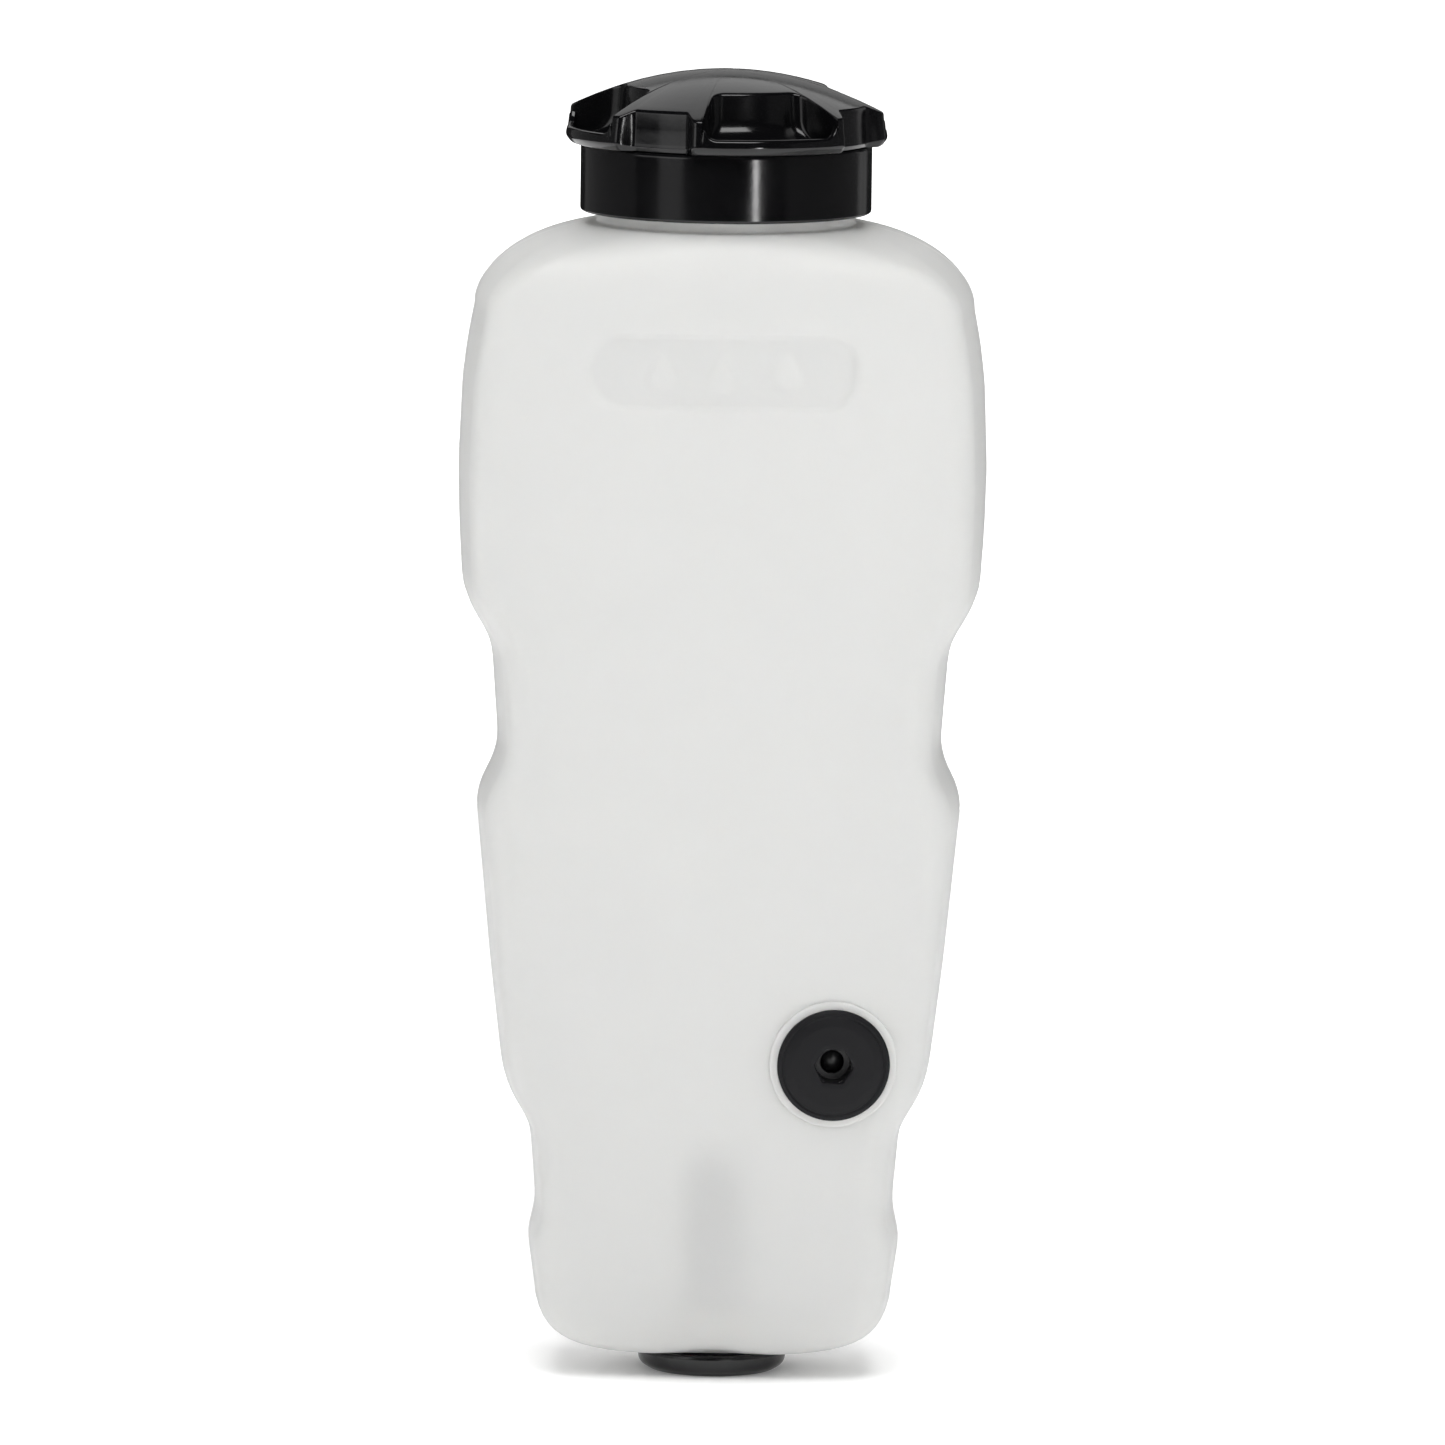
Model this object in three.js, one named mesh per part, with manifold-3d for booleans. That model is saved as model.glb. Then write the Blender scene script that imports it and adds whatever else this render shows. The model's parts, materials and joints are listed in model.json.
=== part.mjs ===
// A one-litre detergent dispenser bottle that drops, cap up, into a carrier or dosing station.
// The blow-moulded body has a wide screw neck on top, a spring-loaded foot valve in its base and a
// self-sealing ball port low on the front. Millimetres, +Z up, front towards -Y, origin at the
// centre of the foot's underside.
import * as THREE from "three";
import { mergeVertices } from "three/addons/utils/BufferGeometryUtils.js";
import Module from "manifold-3d";

const wasm = await Module();
wasm.setup();

// ---------------------------------------------------------------- driving dimensions
const TOTAL_HEIGHT = 272;
const GAP = 0.1; // between faces that touch

const WALL = 1.6;
const BASE_Z = 5; // underside of the body, above the foot
const SHOULDER_Z = 240.3;

const NECK = { outer: 26.8, bore: 24.8, rim: 253.4 };
// Double-start thread: two ridges, so one turn lifts the cap by LEAD and ridges lie LEAD / 2 apart.
const THREAD = { lead: 8.4, starts: 2, turns: 0.78, firstZ: 244.7, rootHalf: 1.15, crestHalf: 0.5 };
const THREAD_CREST = { neck: 28.3, cap: 27.25 };

const CAP = { outer: 30.2, inner: 28.6, bottom: 242.6, panel: 255.1, top: 256.7 };
const GRIP = { rim: 33.4, rimTop: 263.6, hollow: 20.1, roof: 1.8, dome: 0.0075 };
// Four scooped finger pockets stand between four blocks that are flush with the skirt.
const POCKET = { count: 4, azimuth: 17.6, half: 28, back: 21.5, floor: 258.4, lipTop: 260, lip: 1.4 };
const BLOCK_HALF = 12.5; // degrees each side of a block's middle

const VENT = { hole: 2, seat: 3.1, seatZ: 254.4, tube: 5.6, tubeOuter: 7, tubeZ: 251, lift: 0.9 };

const FOOT = { outer: 15.6, height: 4.6, flange: 13.4, flangeZ: 1.8, flangeTop: 3.8, mouth: 6 };
const TUBE = { outer: 6.25, socket: 5, chamber: 4.9, seat: 2.6, seatZ: 8, chamberZ: 9.4, top: 40 };
const BASE_HOLE = 7.2;

const PORT = { x: 24.4, z: 68, land: 13.3, landProud: 0.7, hole: 8.2, flange: 11.7, hexFlats: 7 };
const BALL = { radius: 3.4, depth: 7.2 };

const ROUND = 36; // sides of a large round piece
const FINE = 20; // sides of a small round piece

// ---------------------------------------------------------------- body shape
const FACE = { corner: 7, front: 320, side: 130 }; // radii of the body's corners and bowed faces
// Half width and half depth up the body, between the rounded heel and the shoulder.
const TAPER = [
  [17, 37, 23.1],
  [28, 38.6, 24.3],
  [66, 44.6, 26.7],
  [86, 47, 28],
  [120, 50.3, 30.3],
  [166, 53.7, 33.1],
  [178, 54.4, 33.6],
  [190, 54.7, 33.9],
  [208, 54, 34],
  [216, 53, 34],
  [223.5, 51.6, 34],
];
// The sides step in twice, where a carrier's clips hold the bottle: heights where each notch
// starts and is full, then where it begins to fade and ends, and its depth at those full heights.
const NOTCHES = [
  { heights: [28, 36, 51, 62], depths: [2.8, 3.9] },
  { heights: [120, 132, 151.5, 164.5], depths: [5.3, 5.3] },
];
// The heel and shoulder roll over from the taper's ends to these sizes, each along a superellipse
// for the width and another for the depth. Power 2 is an ellipse, and a cut under 1 ends it before
// it is level, so that the shoulder's sides still slope where they meet the neck.
const HEEL = {
  z: BASE_Z, width: 21, depth: 14.8, corner: 10, front: 70, side: 40, powers: [2, 2], cuts: [1, 1],
};
const SHOULDER = {
  z: SHOULDER_Z, width: 27.6, depth: 27.6, corner: 26, front: 40, side: 40,
  powers: [1.9, 2.6], cuts: [0.971, 1],
};
const CAVITY = { lift: [12, 27], drop: [223.5, 233.5] }; // heights where it leaves base and shoulder

// ---------------------------------------------------------------- helpers
const RAD = Math.PI / 180;

// Merges shared vertices and turns the faces outwards, so the geometry is one closed body.
function closed(geometry) {
  geometry.deleteAttribute("normal");
  geometry.deleteAttribute("uv");
  const merged = mergeVertices(geometry, 1e-4);
  const position = merged.attributes.position;
  const index = merged.index.array;
  const corner = [0, 1, 2].map(() => new THREE.Vector3());
  let volume = 0;
  for (let i = 0; i < index.length; i += 3) {
    corner.forEach((v, k) => v.fromBufferAttribute(position, index[i + k]));
    volume += corner[0].dot(corner[1].cross(corner[2]));
  }
  if (volume < 0) {
    for (let i = 0; i < index.length; i += 3) {
      [index[i + 1], index[i + 2]] = [index[i + 2], index[i + 1]];
    }
  }
  return merged;
}

function solidOf(geometry) {
  const shape = closed(geometry);
  return new wasm.Manifold(
    new wasm.Mesh({
      numProp: 3,
      vertProperties: shape.attributes.position.array,
      triVerts: new Uint32Array(shape.index.array),
    }),
  );
}

function geometryOf(solid) {
  const { vertProperties, triVerts } = solid.getMesh();
  const geometry = new THREE.BufferGeometry();
  geometry.setAttribute("position", new THREE.BufferAttribute(vertProperties, 3));
  geometry.setIndex(new THREE.BufferAttribute(triVerts, 1));
  return geometry;
}

// Starts from one geometry, joins some to it and cuts others from it.
function combine(base, { joins = [], cuts = [] }) {
  let solid = solidOf(base);
  for (const geometry of joins) solid = solid.add(solidOf(geometry));
  for (const geometry of cuts) solid = solid.subtract(solidOf(geometry));
  return geometryOf(solid);
}

// Turns a closed outline of [radius, z] about the Z axis.
function revolve(outline, sides = ROUND) {
  const points = outline.map(([radius, z]) => new THREE.Vector2(radius, z));
  const touchesAxis = outline[0][0] === 0 && outline.at(-1)[0] === 0;
  if (!touchesAxis) points.push(points[0].clone());
  return new THREE.LatheGeometry(points, sides).rotateX(Math.PI / 2);
}

const ring = (inner, outer, low, high, sides = ROUND) =>
  revolve([[inner, low], [outer, low], [outer, high], [inner, high]], sides);

const disc = (radius, low, high, sides = ROUND) =>
  revolve([[0, low], [radius, low], [radius, high], [0, high]], sides);

// An O-ring lying flat, its section's middle at height z.
const oRing = (radius, section, z) =>
  new THREE.TorusGeometry(radius, section, 6, FINE).translate(0, 0, z);

// A block that spans an angle each side of a direction in degrees from +X, between two radii.
function sector({ inner, outer, middle, half, low, high }) {
  const from = (middle - half) * RAD;
  const to = (middle + half) * RAD;
  const shape = new THREE.Shape();
  shape.absarc(0, 0, outer, from, to, false);
  shape.absarc(0, 0, inner, to, from, true);
  const depth = high - low;
  return new THREE.ExtrudeGeometry(shape, { depth, bevelEnabled: false, curveSegments: 6 })
    .translate(0, 0, low);
}

// One thread ridge: a trapezoid section carried up a helix, its crest fading in and out at the ends.
function threadRidge({ root, crest, firstZ, startAngle }) {
  const steps = 20;
  const rings = [];
  for (let i = 0; i <= steps; i++) {
    const turn = (i / steps) * THREAD.turns;
    const angle = startAngle + turn * 2 * Math.PI;
    const z = firstZ + turn * THREAD.lead;
    const fade = Math.min(1, i / 3, (steps - i) / 3);
    const top = root + (crest - root) * (0.25 + 0.75 * fade);
    const section = [
      [root, -THREAD.rootHalf],
      [top, -THREAD.crestHalf],
      [top, THREAD.crestHalf],
      [root, THREAD.rootHalf],
    ];
    rings.push(section.map(([radius, rise]) => [
      radius * Math.cos(angle),
      radius * Math.sin(angle),
      z + rise,
    ]));
  }
  return loft(rings);
}

// Skins a row of rings that hold the same number of points, and closes both ends with a fan.
function loft(rings) {
  const count = rings[0].length;
  const points = rings.flat();
  const index = [];
  for (let i = 0; i < rings.length - 1; i++) {
    for (let k = 0; k < count; k++) {
      const a = i * count + k;
      const b = i * count + ((k + 1) % count);
      index.push(a, b, b + count, a, b + count, a + count);
    }
  }
  for (const [start, flip] of [[0, true], [(rings.length - 1) * count, false]]) {
    for (let k = 1; k < count - 1; k++) {
      const fan = [start, start + k, start + k + 1];
      index.push(...(flip ? fan.reverse() : fan));
    }
  }
  const geometry = new THREE.BufferGeometry();
  geometry.setAttribute("position", new THREE.Float32BufferAttribute(points.flat(), 3));
  geometry.setIndex(index);
  return geometry;
}

// A coil spring about Z with its end coils on the heights low and high.
function spring({ radius, wire, turns, low, high, steps }) {
  class Helix extends THREE.Curve {
    getPoint(t, target = new THREE.Vector3()) {
      const angle = t * turns * 2 * Math.PI;
      const z = low + wire + (high - low - 2 * wire) * t;
      return target.set(radius * Math.cos(angle), radius * Math.sin(angle), z);
    }
  }
  const section = new THREE.Shape();
  section.absarc(0, 0, wire, 0, 2 * Math.PI, false);
  return new THREE.ExtrudeGeometry(section, {
    steps,
    extrudePath: new Helix(),
    curveSegments: 3,
    bevelEnabled: false,
  });
}

// ---------------------------------------------------------------- body sections
const { clamp, lerp, smoothstep } = THREE.MathUtils;

function notchDepth(z) {
  let depth = 0;
  for (const { heights: [start, full, fade, end], depths: [low, high] } of NOTCHES) {
    const share = clamp((z - full) / (fade - full), 0, 1);
    depth += lerp(low, high, share) * smoothstep(z, start, full) * (1 - smoothstep(z, fade, end));
  }
  return depth;
}

// The taper's half width and half depth at a height, without the notches.
function taperAt(z) {
  const above = TAPER.findIndex(([height]) => height >= z);
  if (above === 0) return TAPER[0].slice(1);
  const [low, high] = [TAPER[above - 1], TAPER[above]];
  const share = (z - low[0]) / (high[0] - low[0]);
  return [1, 2].map((k) => lerp(low[k], high[k], share));
}

const rolledIn = (rise, power) => 1 - (1 - rise ** power) ** (1 / power);

// Stations that roll from one end of the taper over to the heel or the shoulder.
function rollOver([z, width, depth], end, steps) {
  return Array.from({ length: steps }, (_, i) => {
    const rise = Math.sin(((i + 1) / steps) * (Math.PI / 2));
    const [inWidth, inDepth] = end.powers.map((power, k) => (
      rolledIn(rise * end.cuts[k], power) / rolledIn(end.cuts[k], power)
    ));
    const turned = rise ** 6; // the faces round off only near the end
    return {
      z: lerp(z, end.z, rise),
      width: lerp(width, end.width, inWidth),
      depth: lerp(depth, end.depth, inDepth),
      corner: lerp(FACE.corner, end.corner, turned),
      front: 1 / lerp(1 / FACE.front, 1 / end.front, turned),
      side: 1 / lerp(1 / FACE.side, 1 / end.side, turned),
    };
  });
}

function bodyStations() {
  const levels = new Set(TAPER.map(([z]) => z));
  for (const { heights: [start, full, fade, end] } of NOTCHES) {
    [start, lerp(start, full, 1 / 3), lerp(start, full, 2 / 3), full].forEach((z) => levels.add(z));
    [fade, lerp(fade, end, 1 / 3), lerp(fade, end, 2 / 3), end].forEach((z) => levels.add(z));
  }
  const middle = [...levels].sort((a, b) => a - b).map((z) => {
    const [width, depth] = taperAt(z);
    return { z, width: width - notchDepth(z), depth, ...FACE };
  });
  const heel = rollOver(TAPER[0], HEEL, 5).reverse();
  const shoulder = rollOver(TAPER.at(-1), SHOULDER, 7);
  return [...heel, ...middle, ...shoulder];
}

// A body section: a gently bowed front arc, a corner arc and a side arc that meet smoothly,
// mirrored to all four quarters. An inset shrinks every arc about its own centre.
function bodySection({ z, width, depth, corner, front, side }, inset = 0) {
  const frontY = front - depth; // centre of the front arc is (0, frontY)
  const sideX = width - side; // centre of the side arc is (sideX, 0)
  const toFront = front - corner;
  const toSide = side - corner;
  const apart = Math.hypot(sideX, frontY);
  const along = (toFront ** 2 - toSide ** 2 + apart ** 2) / (2 * apart);
  const off = Math.sqrt(toFront ** 2 - along ** 2);
  const [ux, uy] = [sideX / apart, -frontY / apart];
  const cornerX = along * ux - off * uy;
  const cornerY = frontY + along * uy + off * ux;
  const frontAngle = Math.atan2(cornerX, frontY - cornerY);
  const sideAngle = Math.atan2(-cornerY, cornerX - sideX);

  const quarter = [];
  const arc = (cx, cy, radius, from, to, pieces) => {
    for (let i = 0; i < pieces; i++) {
      const angle = from + ((to - from) * i) / pieces;
      quarter.push([cx + radius * Math.sin(angle), cy - radius * Math.cos(angle)]);
    }
  };
  arc(0, frontY, front - inset, 0, frontAngle, 2);
  arc(cornerX, cornerY, corner - inset, frontAngle, Math.PI / 2 - sideAngle, 3);
  arc(sideX, 0, side - inset, Math.PI / 2 - sideAngle, Math.PI / 2, 1);
  const tip = [width - inset, 0];
  const back = quarter.map(([x, y]) => [x, -y]).reverse();
  const right = [...quarter, tip, ...back];
  const left = right.slice(1, -1).map(([x, y]) => [-x, y]).reverse();
  return [...right, ...left].map(([x, y]) => [x, y, z]);
}

// The cavity follows the outside a wall thickness in, lifted off the base and lowered at the shoulder.
function cavityRing(station) {
  const lift = 1 - smoothstep(station.z, ...CAVITY.lift);
  const drop = smoothstep(station.z, ...CAVITY.drop);
  return bodySection({ ...station, z: station.z + WALL * (lift - drop) }, WALL);
}

// ---------------------------------------------------------------- side port frame
// The port's own axis is +Z, square to the bowed front face, with z = 0 on the moulded land.
function portFrame() {
  const span = 10;
  const [, depth] = taperAt(PORT.z);
  const lean = (taperAt(PORT.z + span)[1] - depth) / span;
  const bow = FACE.front - Math.sqrt(FACE.front ** 2 - PORT.x ** 2);
  const outward = new THREE.Vector3(PORT.x / FACE.front, -1, -lean).normalize();
  const origin = new THREE.Vector3(PORT.x, bow - depth, PORT.z);
  origin.addScaledVector(outward, PORT.landProud);
  const frame = new THREE.Group();
  frame.position.copy(origin);
  frame.quaternion.setFromUnitVectors(new THREE.Vector3(0, 0, 1), outward);
  frame.updateMatrix();
  return frame;
}

const port = portFrame();
const inPort = (geometry) => geometry.applyMatrix4(port.matrix);

// ---------------------------------------------------------------- bottle body
function bottleBody() {
  const stations = bodyStations();
  const outside = loft(stations.map((station) => bodySection(station)));
  const cavity = loft(stations.map(cavityRing));
  const neck = disc(NECK.outer, SHOULDER_Z - 2, NECK.rim);
  const land = inPort(disc(PORT.land, -1.2, 0));
  const threads = [0, 1].map((start) => threadRidge({
    root: NECK.outer - 0.4,
    crest: THREAD_CREST.neck,
    firstZ: THREAD.firstZ,
    startAngle: start * Math.PI,
  }));
  return combine(outside, {
    joins: [neck, land, ...threads],
    cuts: [
      cavity,
      disc(NECK.bore, SHOULDER_Z - 5, NECK.rim + 1),
      disc(BASE_HOLE, BASE_Z - 1, BASE_Z + WALL + 2, FINE),
      inPort(disc(PORT.hole, -6, 2, FINE)),
    ],
  });
}

// ---------------------------------------------------------------- cap
// Threaded closure: skirt, panel with the vent hole, a snap ring for the grip cover above it and
// the vent's tube below it.
function capClosure() {
  const shell = revolve([
    [VENT.hole, VENT.seatZ],
    [VENT.seat, VENT.seatZ],
    [VENT.seat, CAP.panel],
    [VENT.tube, CAP.panel],
    [VENT.tube, VENT.tubeZ],
    [VENT.tubeOuter, VENT.tubeZ],
    [VENT.tubeOuter, CAP.panel],
    [CAP.inner, CAP.panel],
    [CAP.inner, CAP.bottom],
    [CAP.outer, CAP.bottom],
    [CAP.outer, CAP.top - 0.5],
    [CAP.outer - 0.4, CAP.top],
    [GRIP.hollow - 0.3, CAP.top],
    [GRIP.hollow - 0.3, CAP.top + 2.6],
    [GRIP.hollow - 1.7, CAP.top + 2.6],
    [GRIP.hollow - 1.7, CAP.top],
    [VENT.hole, CAP.top],
  ]);
  // The cap's ridges lie half way between the neck's, and start where they clear the skirt's edge.
  const startTurn = 0.175;
  const between = THREAD.lead / (2 * THREAD.starts);
  const threads = [0, 1].map((start) => threadRidge({
    root: CAP.inner + 0.4,
    crest: THREAD_CREST.cap,
    firstZ: THREAD.firstZ - between + startTurn * THREAD.lead,
    startAngle: (start / THREAD.starts + startTurn) * 2 * Math.PI,
  }));
  return combine(shell, { joins: threads });
}

// Height of the domed top at a radius, along a parabola.
const domeZ = (radius, drop = 0) => TOTAL_HEIGHT - drop - GRIP.dome * radius ** 2;

// Snap-on grip cover: a domed shell with scooped finger pockets around its rim.
function capGrip() {
  const outsideRadii = [0, 8, 17, 25, CAP.outer];
  const insideRadii = [GRIP.hollow, 13, 0];
  const shell = revolve([
    ...outsideRadii.map((radius) => [radius, domeZ(radius)]),
    [GRIP.rim, GRIP.rimTop],
    [GRIP.rim, CAP.top + 1],
    [GRIP.rim - 0.9, CAP.top + GAP],
    [GRIP.hollow, CAP.top + GAP],
    ...insideRadii.map((radius) => [radius, domeZ(radius, GRIP.roof)]),
  ]);
  const above = TOTAL_HEIGHT + 2;
  const beyond = GRIP.rim + 3;
  const cuts = [];
  for (let i = 0; i < POCKET.count; i++) {
    const pocket = POCKET.azimuth - 90 + (360 / POCKET.count) * i;
    const block = pocket + 180 / POCKET.count;
    cuts.push(sector({
      inner: POCKET.back,
      outer: GRIP.rim - POCKET.lip,
      middle: pocket,
      half: POCKET.half,
      low: POCKET.floor,
      high: above,
    }));
    cuts.push(sector({
      inner: POCKET.back,
      outer: beyond,
      middle: pocket,
      half: POCKET.half,
      low: POCKET.lipTop,
      high: above,
    }));
    cuts.push(sector({
      inner: CAP.outer,
      outer: beyond,
      middle: block,
      half: BLOCK_HALF,
      low: CAP.top - 1,
      high: above,
    }));
  }
  return combine(shell, { cuts });
}

// Ring seal between the neck's rim and the cap's panel.
const capGasket = () => ring(NECK.bore + 0.1, 28.2, NECK.rim + GAP, CAP.panel - GAP);

// Loose check disc: it drops to let air in and lifts on to its seat against liquid.
const ventDisc = () => disc(4.6, VENT.seatZ - VENT.lift - 1.05, VENT.seatZ - VENT.lift - 0.05, FINE);

// Snap-in ring that keeps the check disc in its tube, open between its spokes.
function ventRetainer() {
  const top = VENT.seatZ - VENT.lift - 1.15;
  const plate = disc(VENT.tube - GAP, VENT.tubeZ + 0.2, top, FINE);
  const slots = [0, 1, 2, 3].map((i) => sector({
    inner: 1.3,
    outer: 4.1,
    middle: 90 * i,
    half: 30,
    low: VENT.tubeZ - 1,
    high: top + 1,
  }));
  return combine(plate, { cuts: slots });
}

// ---------------------------------------------------------------- foot valve
// Soft boot that wraps the valve's flange: the bottle rests and seals on it.
function footBoot() {
  const { outer, height, flange, flangeZ, mouth } = FOOT;
  return revolve([
    [mouth, 0],
    [outer - 2.6, 0],
    [outer - 0.8, 0.8],
    [outer, 2.6],
    [outer, height],
    [flange + 0.2, height],
    [flange + 0.2, flangeZ - GAP],
    [mouth, flangeZ - GAP],
  ]);
}

// Flange and tube, with a socket for the carrier's pin below the seat and a chamber above it.
function footValveBody() {
  const { flange, flangeZ, flangeTop } = FOOT;
  const { outer, socket, chamber, seat, seatZ, chamberZ, top } = TUBE;
  const body = revolve([
    [socket, flangeZ],
    [flange, flangeZ],
    [flange, flangeTop],
    [outer, flangeTop],
    [outer, top],
    [chamber, top],
    [chamber, chamberZ],
    [seat, chamberZ],
    [seat, seatZ],
    [socket, seatZ],
  ], 28);
  const windowSize = [20, 3, 7]; // one block opens both sides of the tube
  const windows = [0, 1].map((i) => new THREE.BoxGeometry(...windowSize)
    .rotateZ((i * Math.PI) / 2)
    .translate(0, 0, 17.5));
  return combine(body, { cuts: windows });
}

const footGasket = () => ring(TUBE.outer + 0.15, FOOT.flange - 0.2, FOOT.flangeTop + GAP, BASE_Z - GAP);

const innerFloor = BASE_Z + WALL + GAP;
const footWasher = () => ring(TUBE.outer + 0.25, 10.5, innerFloor, innerFloor + 1, FINE);

// Hexagon lock nut that clamps the valve to the bottle's base from inside.
function footLockNut() {
  const outline = new THREE.Shape();
  const acrossCorners = 10.4;
  for (let i = 0; i < 6; i++) {
    const angle = (i * Math.PI) / 3;
    outline.lineTo(acrossCorners * Math.cos(angle), acrossCorners * Math.sin(angle));
  }
  const bore = new THREE.Path();
  bore.absarc(0, 0, TUBE.outer + 0.15, 0, 2 * Math.PI, true);
  outline.curves.shift(); // the first line only joins the path's start to the first corner
  outline.holes.push(bore);
  return new THREE.ExtrudeGeometry(outline, { depth: 4.6, bevelEnabled: false, curveSegments: FINE })
    .translate(0, 0, innerFloor + 1 + GAP);
}

// Push-up plunger: its tip hangs in the socket, and its head closes the seat.
const footPlunger = () => revolve([
  [0, 5],
  [1.3, 5],
  [1.3, 9.6],
  [2.7, 9.6],
  [2.7, 11.1],
  [4.4, 11.1],
  [4.4, 12.4],
  [1.6, 12.4],
  [1.6, 38],
  [0, 38],
], FINE);

const footPlungerSeal = () => oRing(3.6, 0.75, 10.25);

const footSpring = () => spring({ radius: 3.3, wire: 0.4, turns: 6, low: 12.5, high: 35.9, steps: 60 });

// Plug that closes the tube's top, guides the plunger and holds the spring down.
const footSpringCap = () => revolve([
  [1.8, 36],
  [TUBE.chamber - GAP, 36],
  [TUBE.chamber - GAP, TUBE.top + GAP],
  [TUBE.outer, TUBE.top + GAP],
  [TUBE.outer, 42.4],
  [TUBE.outer - 1, 43.4],
  [0, 43.4],
  [0, 42],
  [1.8, 42],
], FINE);

// ---------------------------------------------------------------- side port
// Rubber grommet: outside flange, neck through the wall, inside flange and a hexagon mouth.
function sideGrommet() {
  const { flange, hole, hexFlats, landProud } = PORT;
  const inside = -(WALL + landProud) - 0.3;
  const body = revolve([
    [0, 0.5],
    [0, 2.3],
    [flange - 1.4, 2.3],
    [flange - 0.3, 1.7],
    [flange, 0.9],
    [flange, GAP],
    [hole - 0.2, GAP],
    [hole - 0.2, inside],
    [hole + 1.8, inside - 0.1],
    [hole + 0.6, -5.2],
    [5.6, -5.2],
    [5.6, 0.5],
  ], 28);
  const hexRadius = hexFlats / Math.sqrt(3);
  const mouth = new THREE.CylinderGeometry(hexRadius, hexRadius, 6, 6).rotateX(Math.PI / 2);
  return combine(body, { cuts: [mouth] });
}

// Cartridge pushed into the grommet from inside, with the ball's seat part way down its bore.
const sideHousing = () => revolve([
  [3.7, 0.3],
  [3.7, -3],
  [2.4, -3],
  [2.4, -4.2],
  [4.3, -4.2],
  [4.3, -16.8],
  [5.4, -16.8],
  [5.4, -6.6],
  [7, -6.6],
  [7, -5.4],
  [5.4, -5.4],
  [5.4, 0.3],
], FINE);

const sideSeal = () => oRing(3.3, 0.6, -4.9);
const sideBall = () => new THREE.SphereGeometry(BALL.radius, 16, 10).translate(0, 0, -BALL.depth);
const sideSpring = () => spring({ radius: 2.9, wire: 0.25, turns: 5, low: -16.8, high: -9.3, steps: 45 });

// Rear clip that closes the housing behind the spring, with a hole for the liquid.
const sideRetainer = () => revolve([
  [1.6, -18.6],
  [5.4, -18.6],
  [5.4, -16.9],
  [1.6, -16.9],
], FINE);

// ---------------------------------------------------------------- materials and assembly
const finish = (color, roughness, metalness = 0) =>
  new THREE.MeshStandardMaterial({ color, roughness, metalness });

const NATURAL_HDPE = finish(0xe3e3e1, 0.45);
const BLACK_GLOSS = finish(0x141416, 0.25);
const BLACK_RUBBER = finish(0x2b2b2d, 0.6);
const BLACK_VALVE = finish(0x1c1c1e, 0.4);
const GREY_FOAM = finish(0xb9bab8, 0.8);
const NYLON = finish(0xdcd8cc, 0.5);
const SILICONE = finish(0xc9d3d6, 0.5);
const STEEL = finish(0xb8babd, 0.3, 1);

const bottle = new THREE.Group();

function add(parent, name, geometry, material) {
  const mesh = new THREE.Mesh(geometry, material);
  mesh.name = name;
  parent.add(mesh);
}

add(bottle, "bottle_body", bottleBody(), NATURAL_HDPE);

add(bottle, "cap_closure", capClosure(), BLACK_GLOSS);
add(bottle, "cap_grip_cover", capGrip(), BLACK_GLOSS);
add(bottle, "cap_gasket", capGasket(), GREY_FOAM);
add(bottle, "vent_disc", ventDisc(), SILICONE);
add(bottle, "vent_retainer", ventRetainer(), NYLON);

add(bottle, "foot_boot", footBoot(), BLACK_RUBBER);
add(bottle, "foot_valve_body", footValveBody(), BLACK_VALVE);
add(bottle, "foot_gasket", footGasket(), BLACK_RUBBER);
add(bottle, "foot_washer", footWasher(), NYLON);
add(bottle, "foot_lock_nut", footLockNut(), NYLON);
add(bottle, "foot_plunger", footPlunger(), NYLON);
add(bottle, "foot_plunger_seal", footPlungerSeal(), BLACK_RUBBER);
add(bottle, "foot_spring", footSpring(), STEEL);
add(bottle, "foot_spring_cap", footSpringCap(), BLACK_VALVE);

bottle.add(port);
add(port, "side_grommet", sideGrommet(), BLACK_RUBBER);
add(port, "side_valve_housing", sideHousing(), BLACK_VALVE);
add(port, "side_valve_seal", sideSeal(), BLACK_RUBBER);
add(port, "side_valve_ball", sideBall(), BLACK_VALVE);
add(port, "side_valve_spring", sideSpring(), STEEL);
add(port, "side_valve_retainer", sideRetainer(), NYLON);

export default bottle;
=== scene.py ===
"""Fine surfaces, finishes and studio for a detergent dispenser bottle.

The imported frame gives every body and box. Each class below makes one sub-assembly's pieces over
that frame: the blow-moulded body, the screw cap, the foot valve and the side port. Outlines are in
millimetres, as on a maker's drawing, and become metres when a mesh is built.
"""

from __future__ import annotations

import json
import logging
import math
from collections.abc import Callable, Sequence
from dataclasses import dataclass, field
from enum import Enum
from typing import Any

import bmesh
import bpy
import numpy as np
from mathutils import Matrix, Vector

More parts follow.
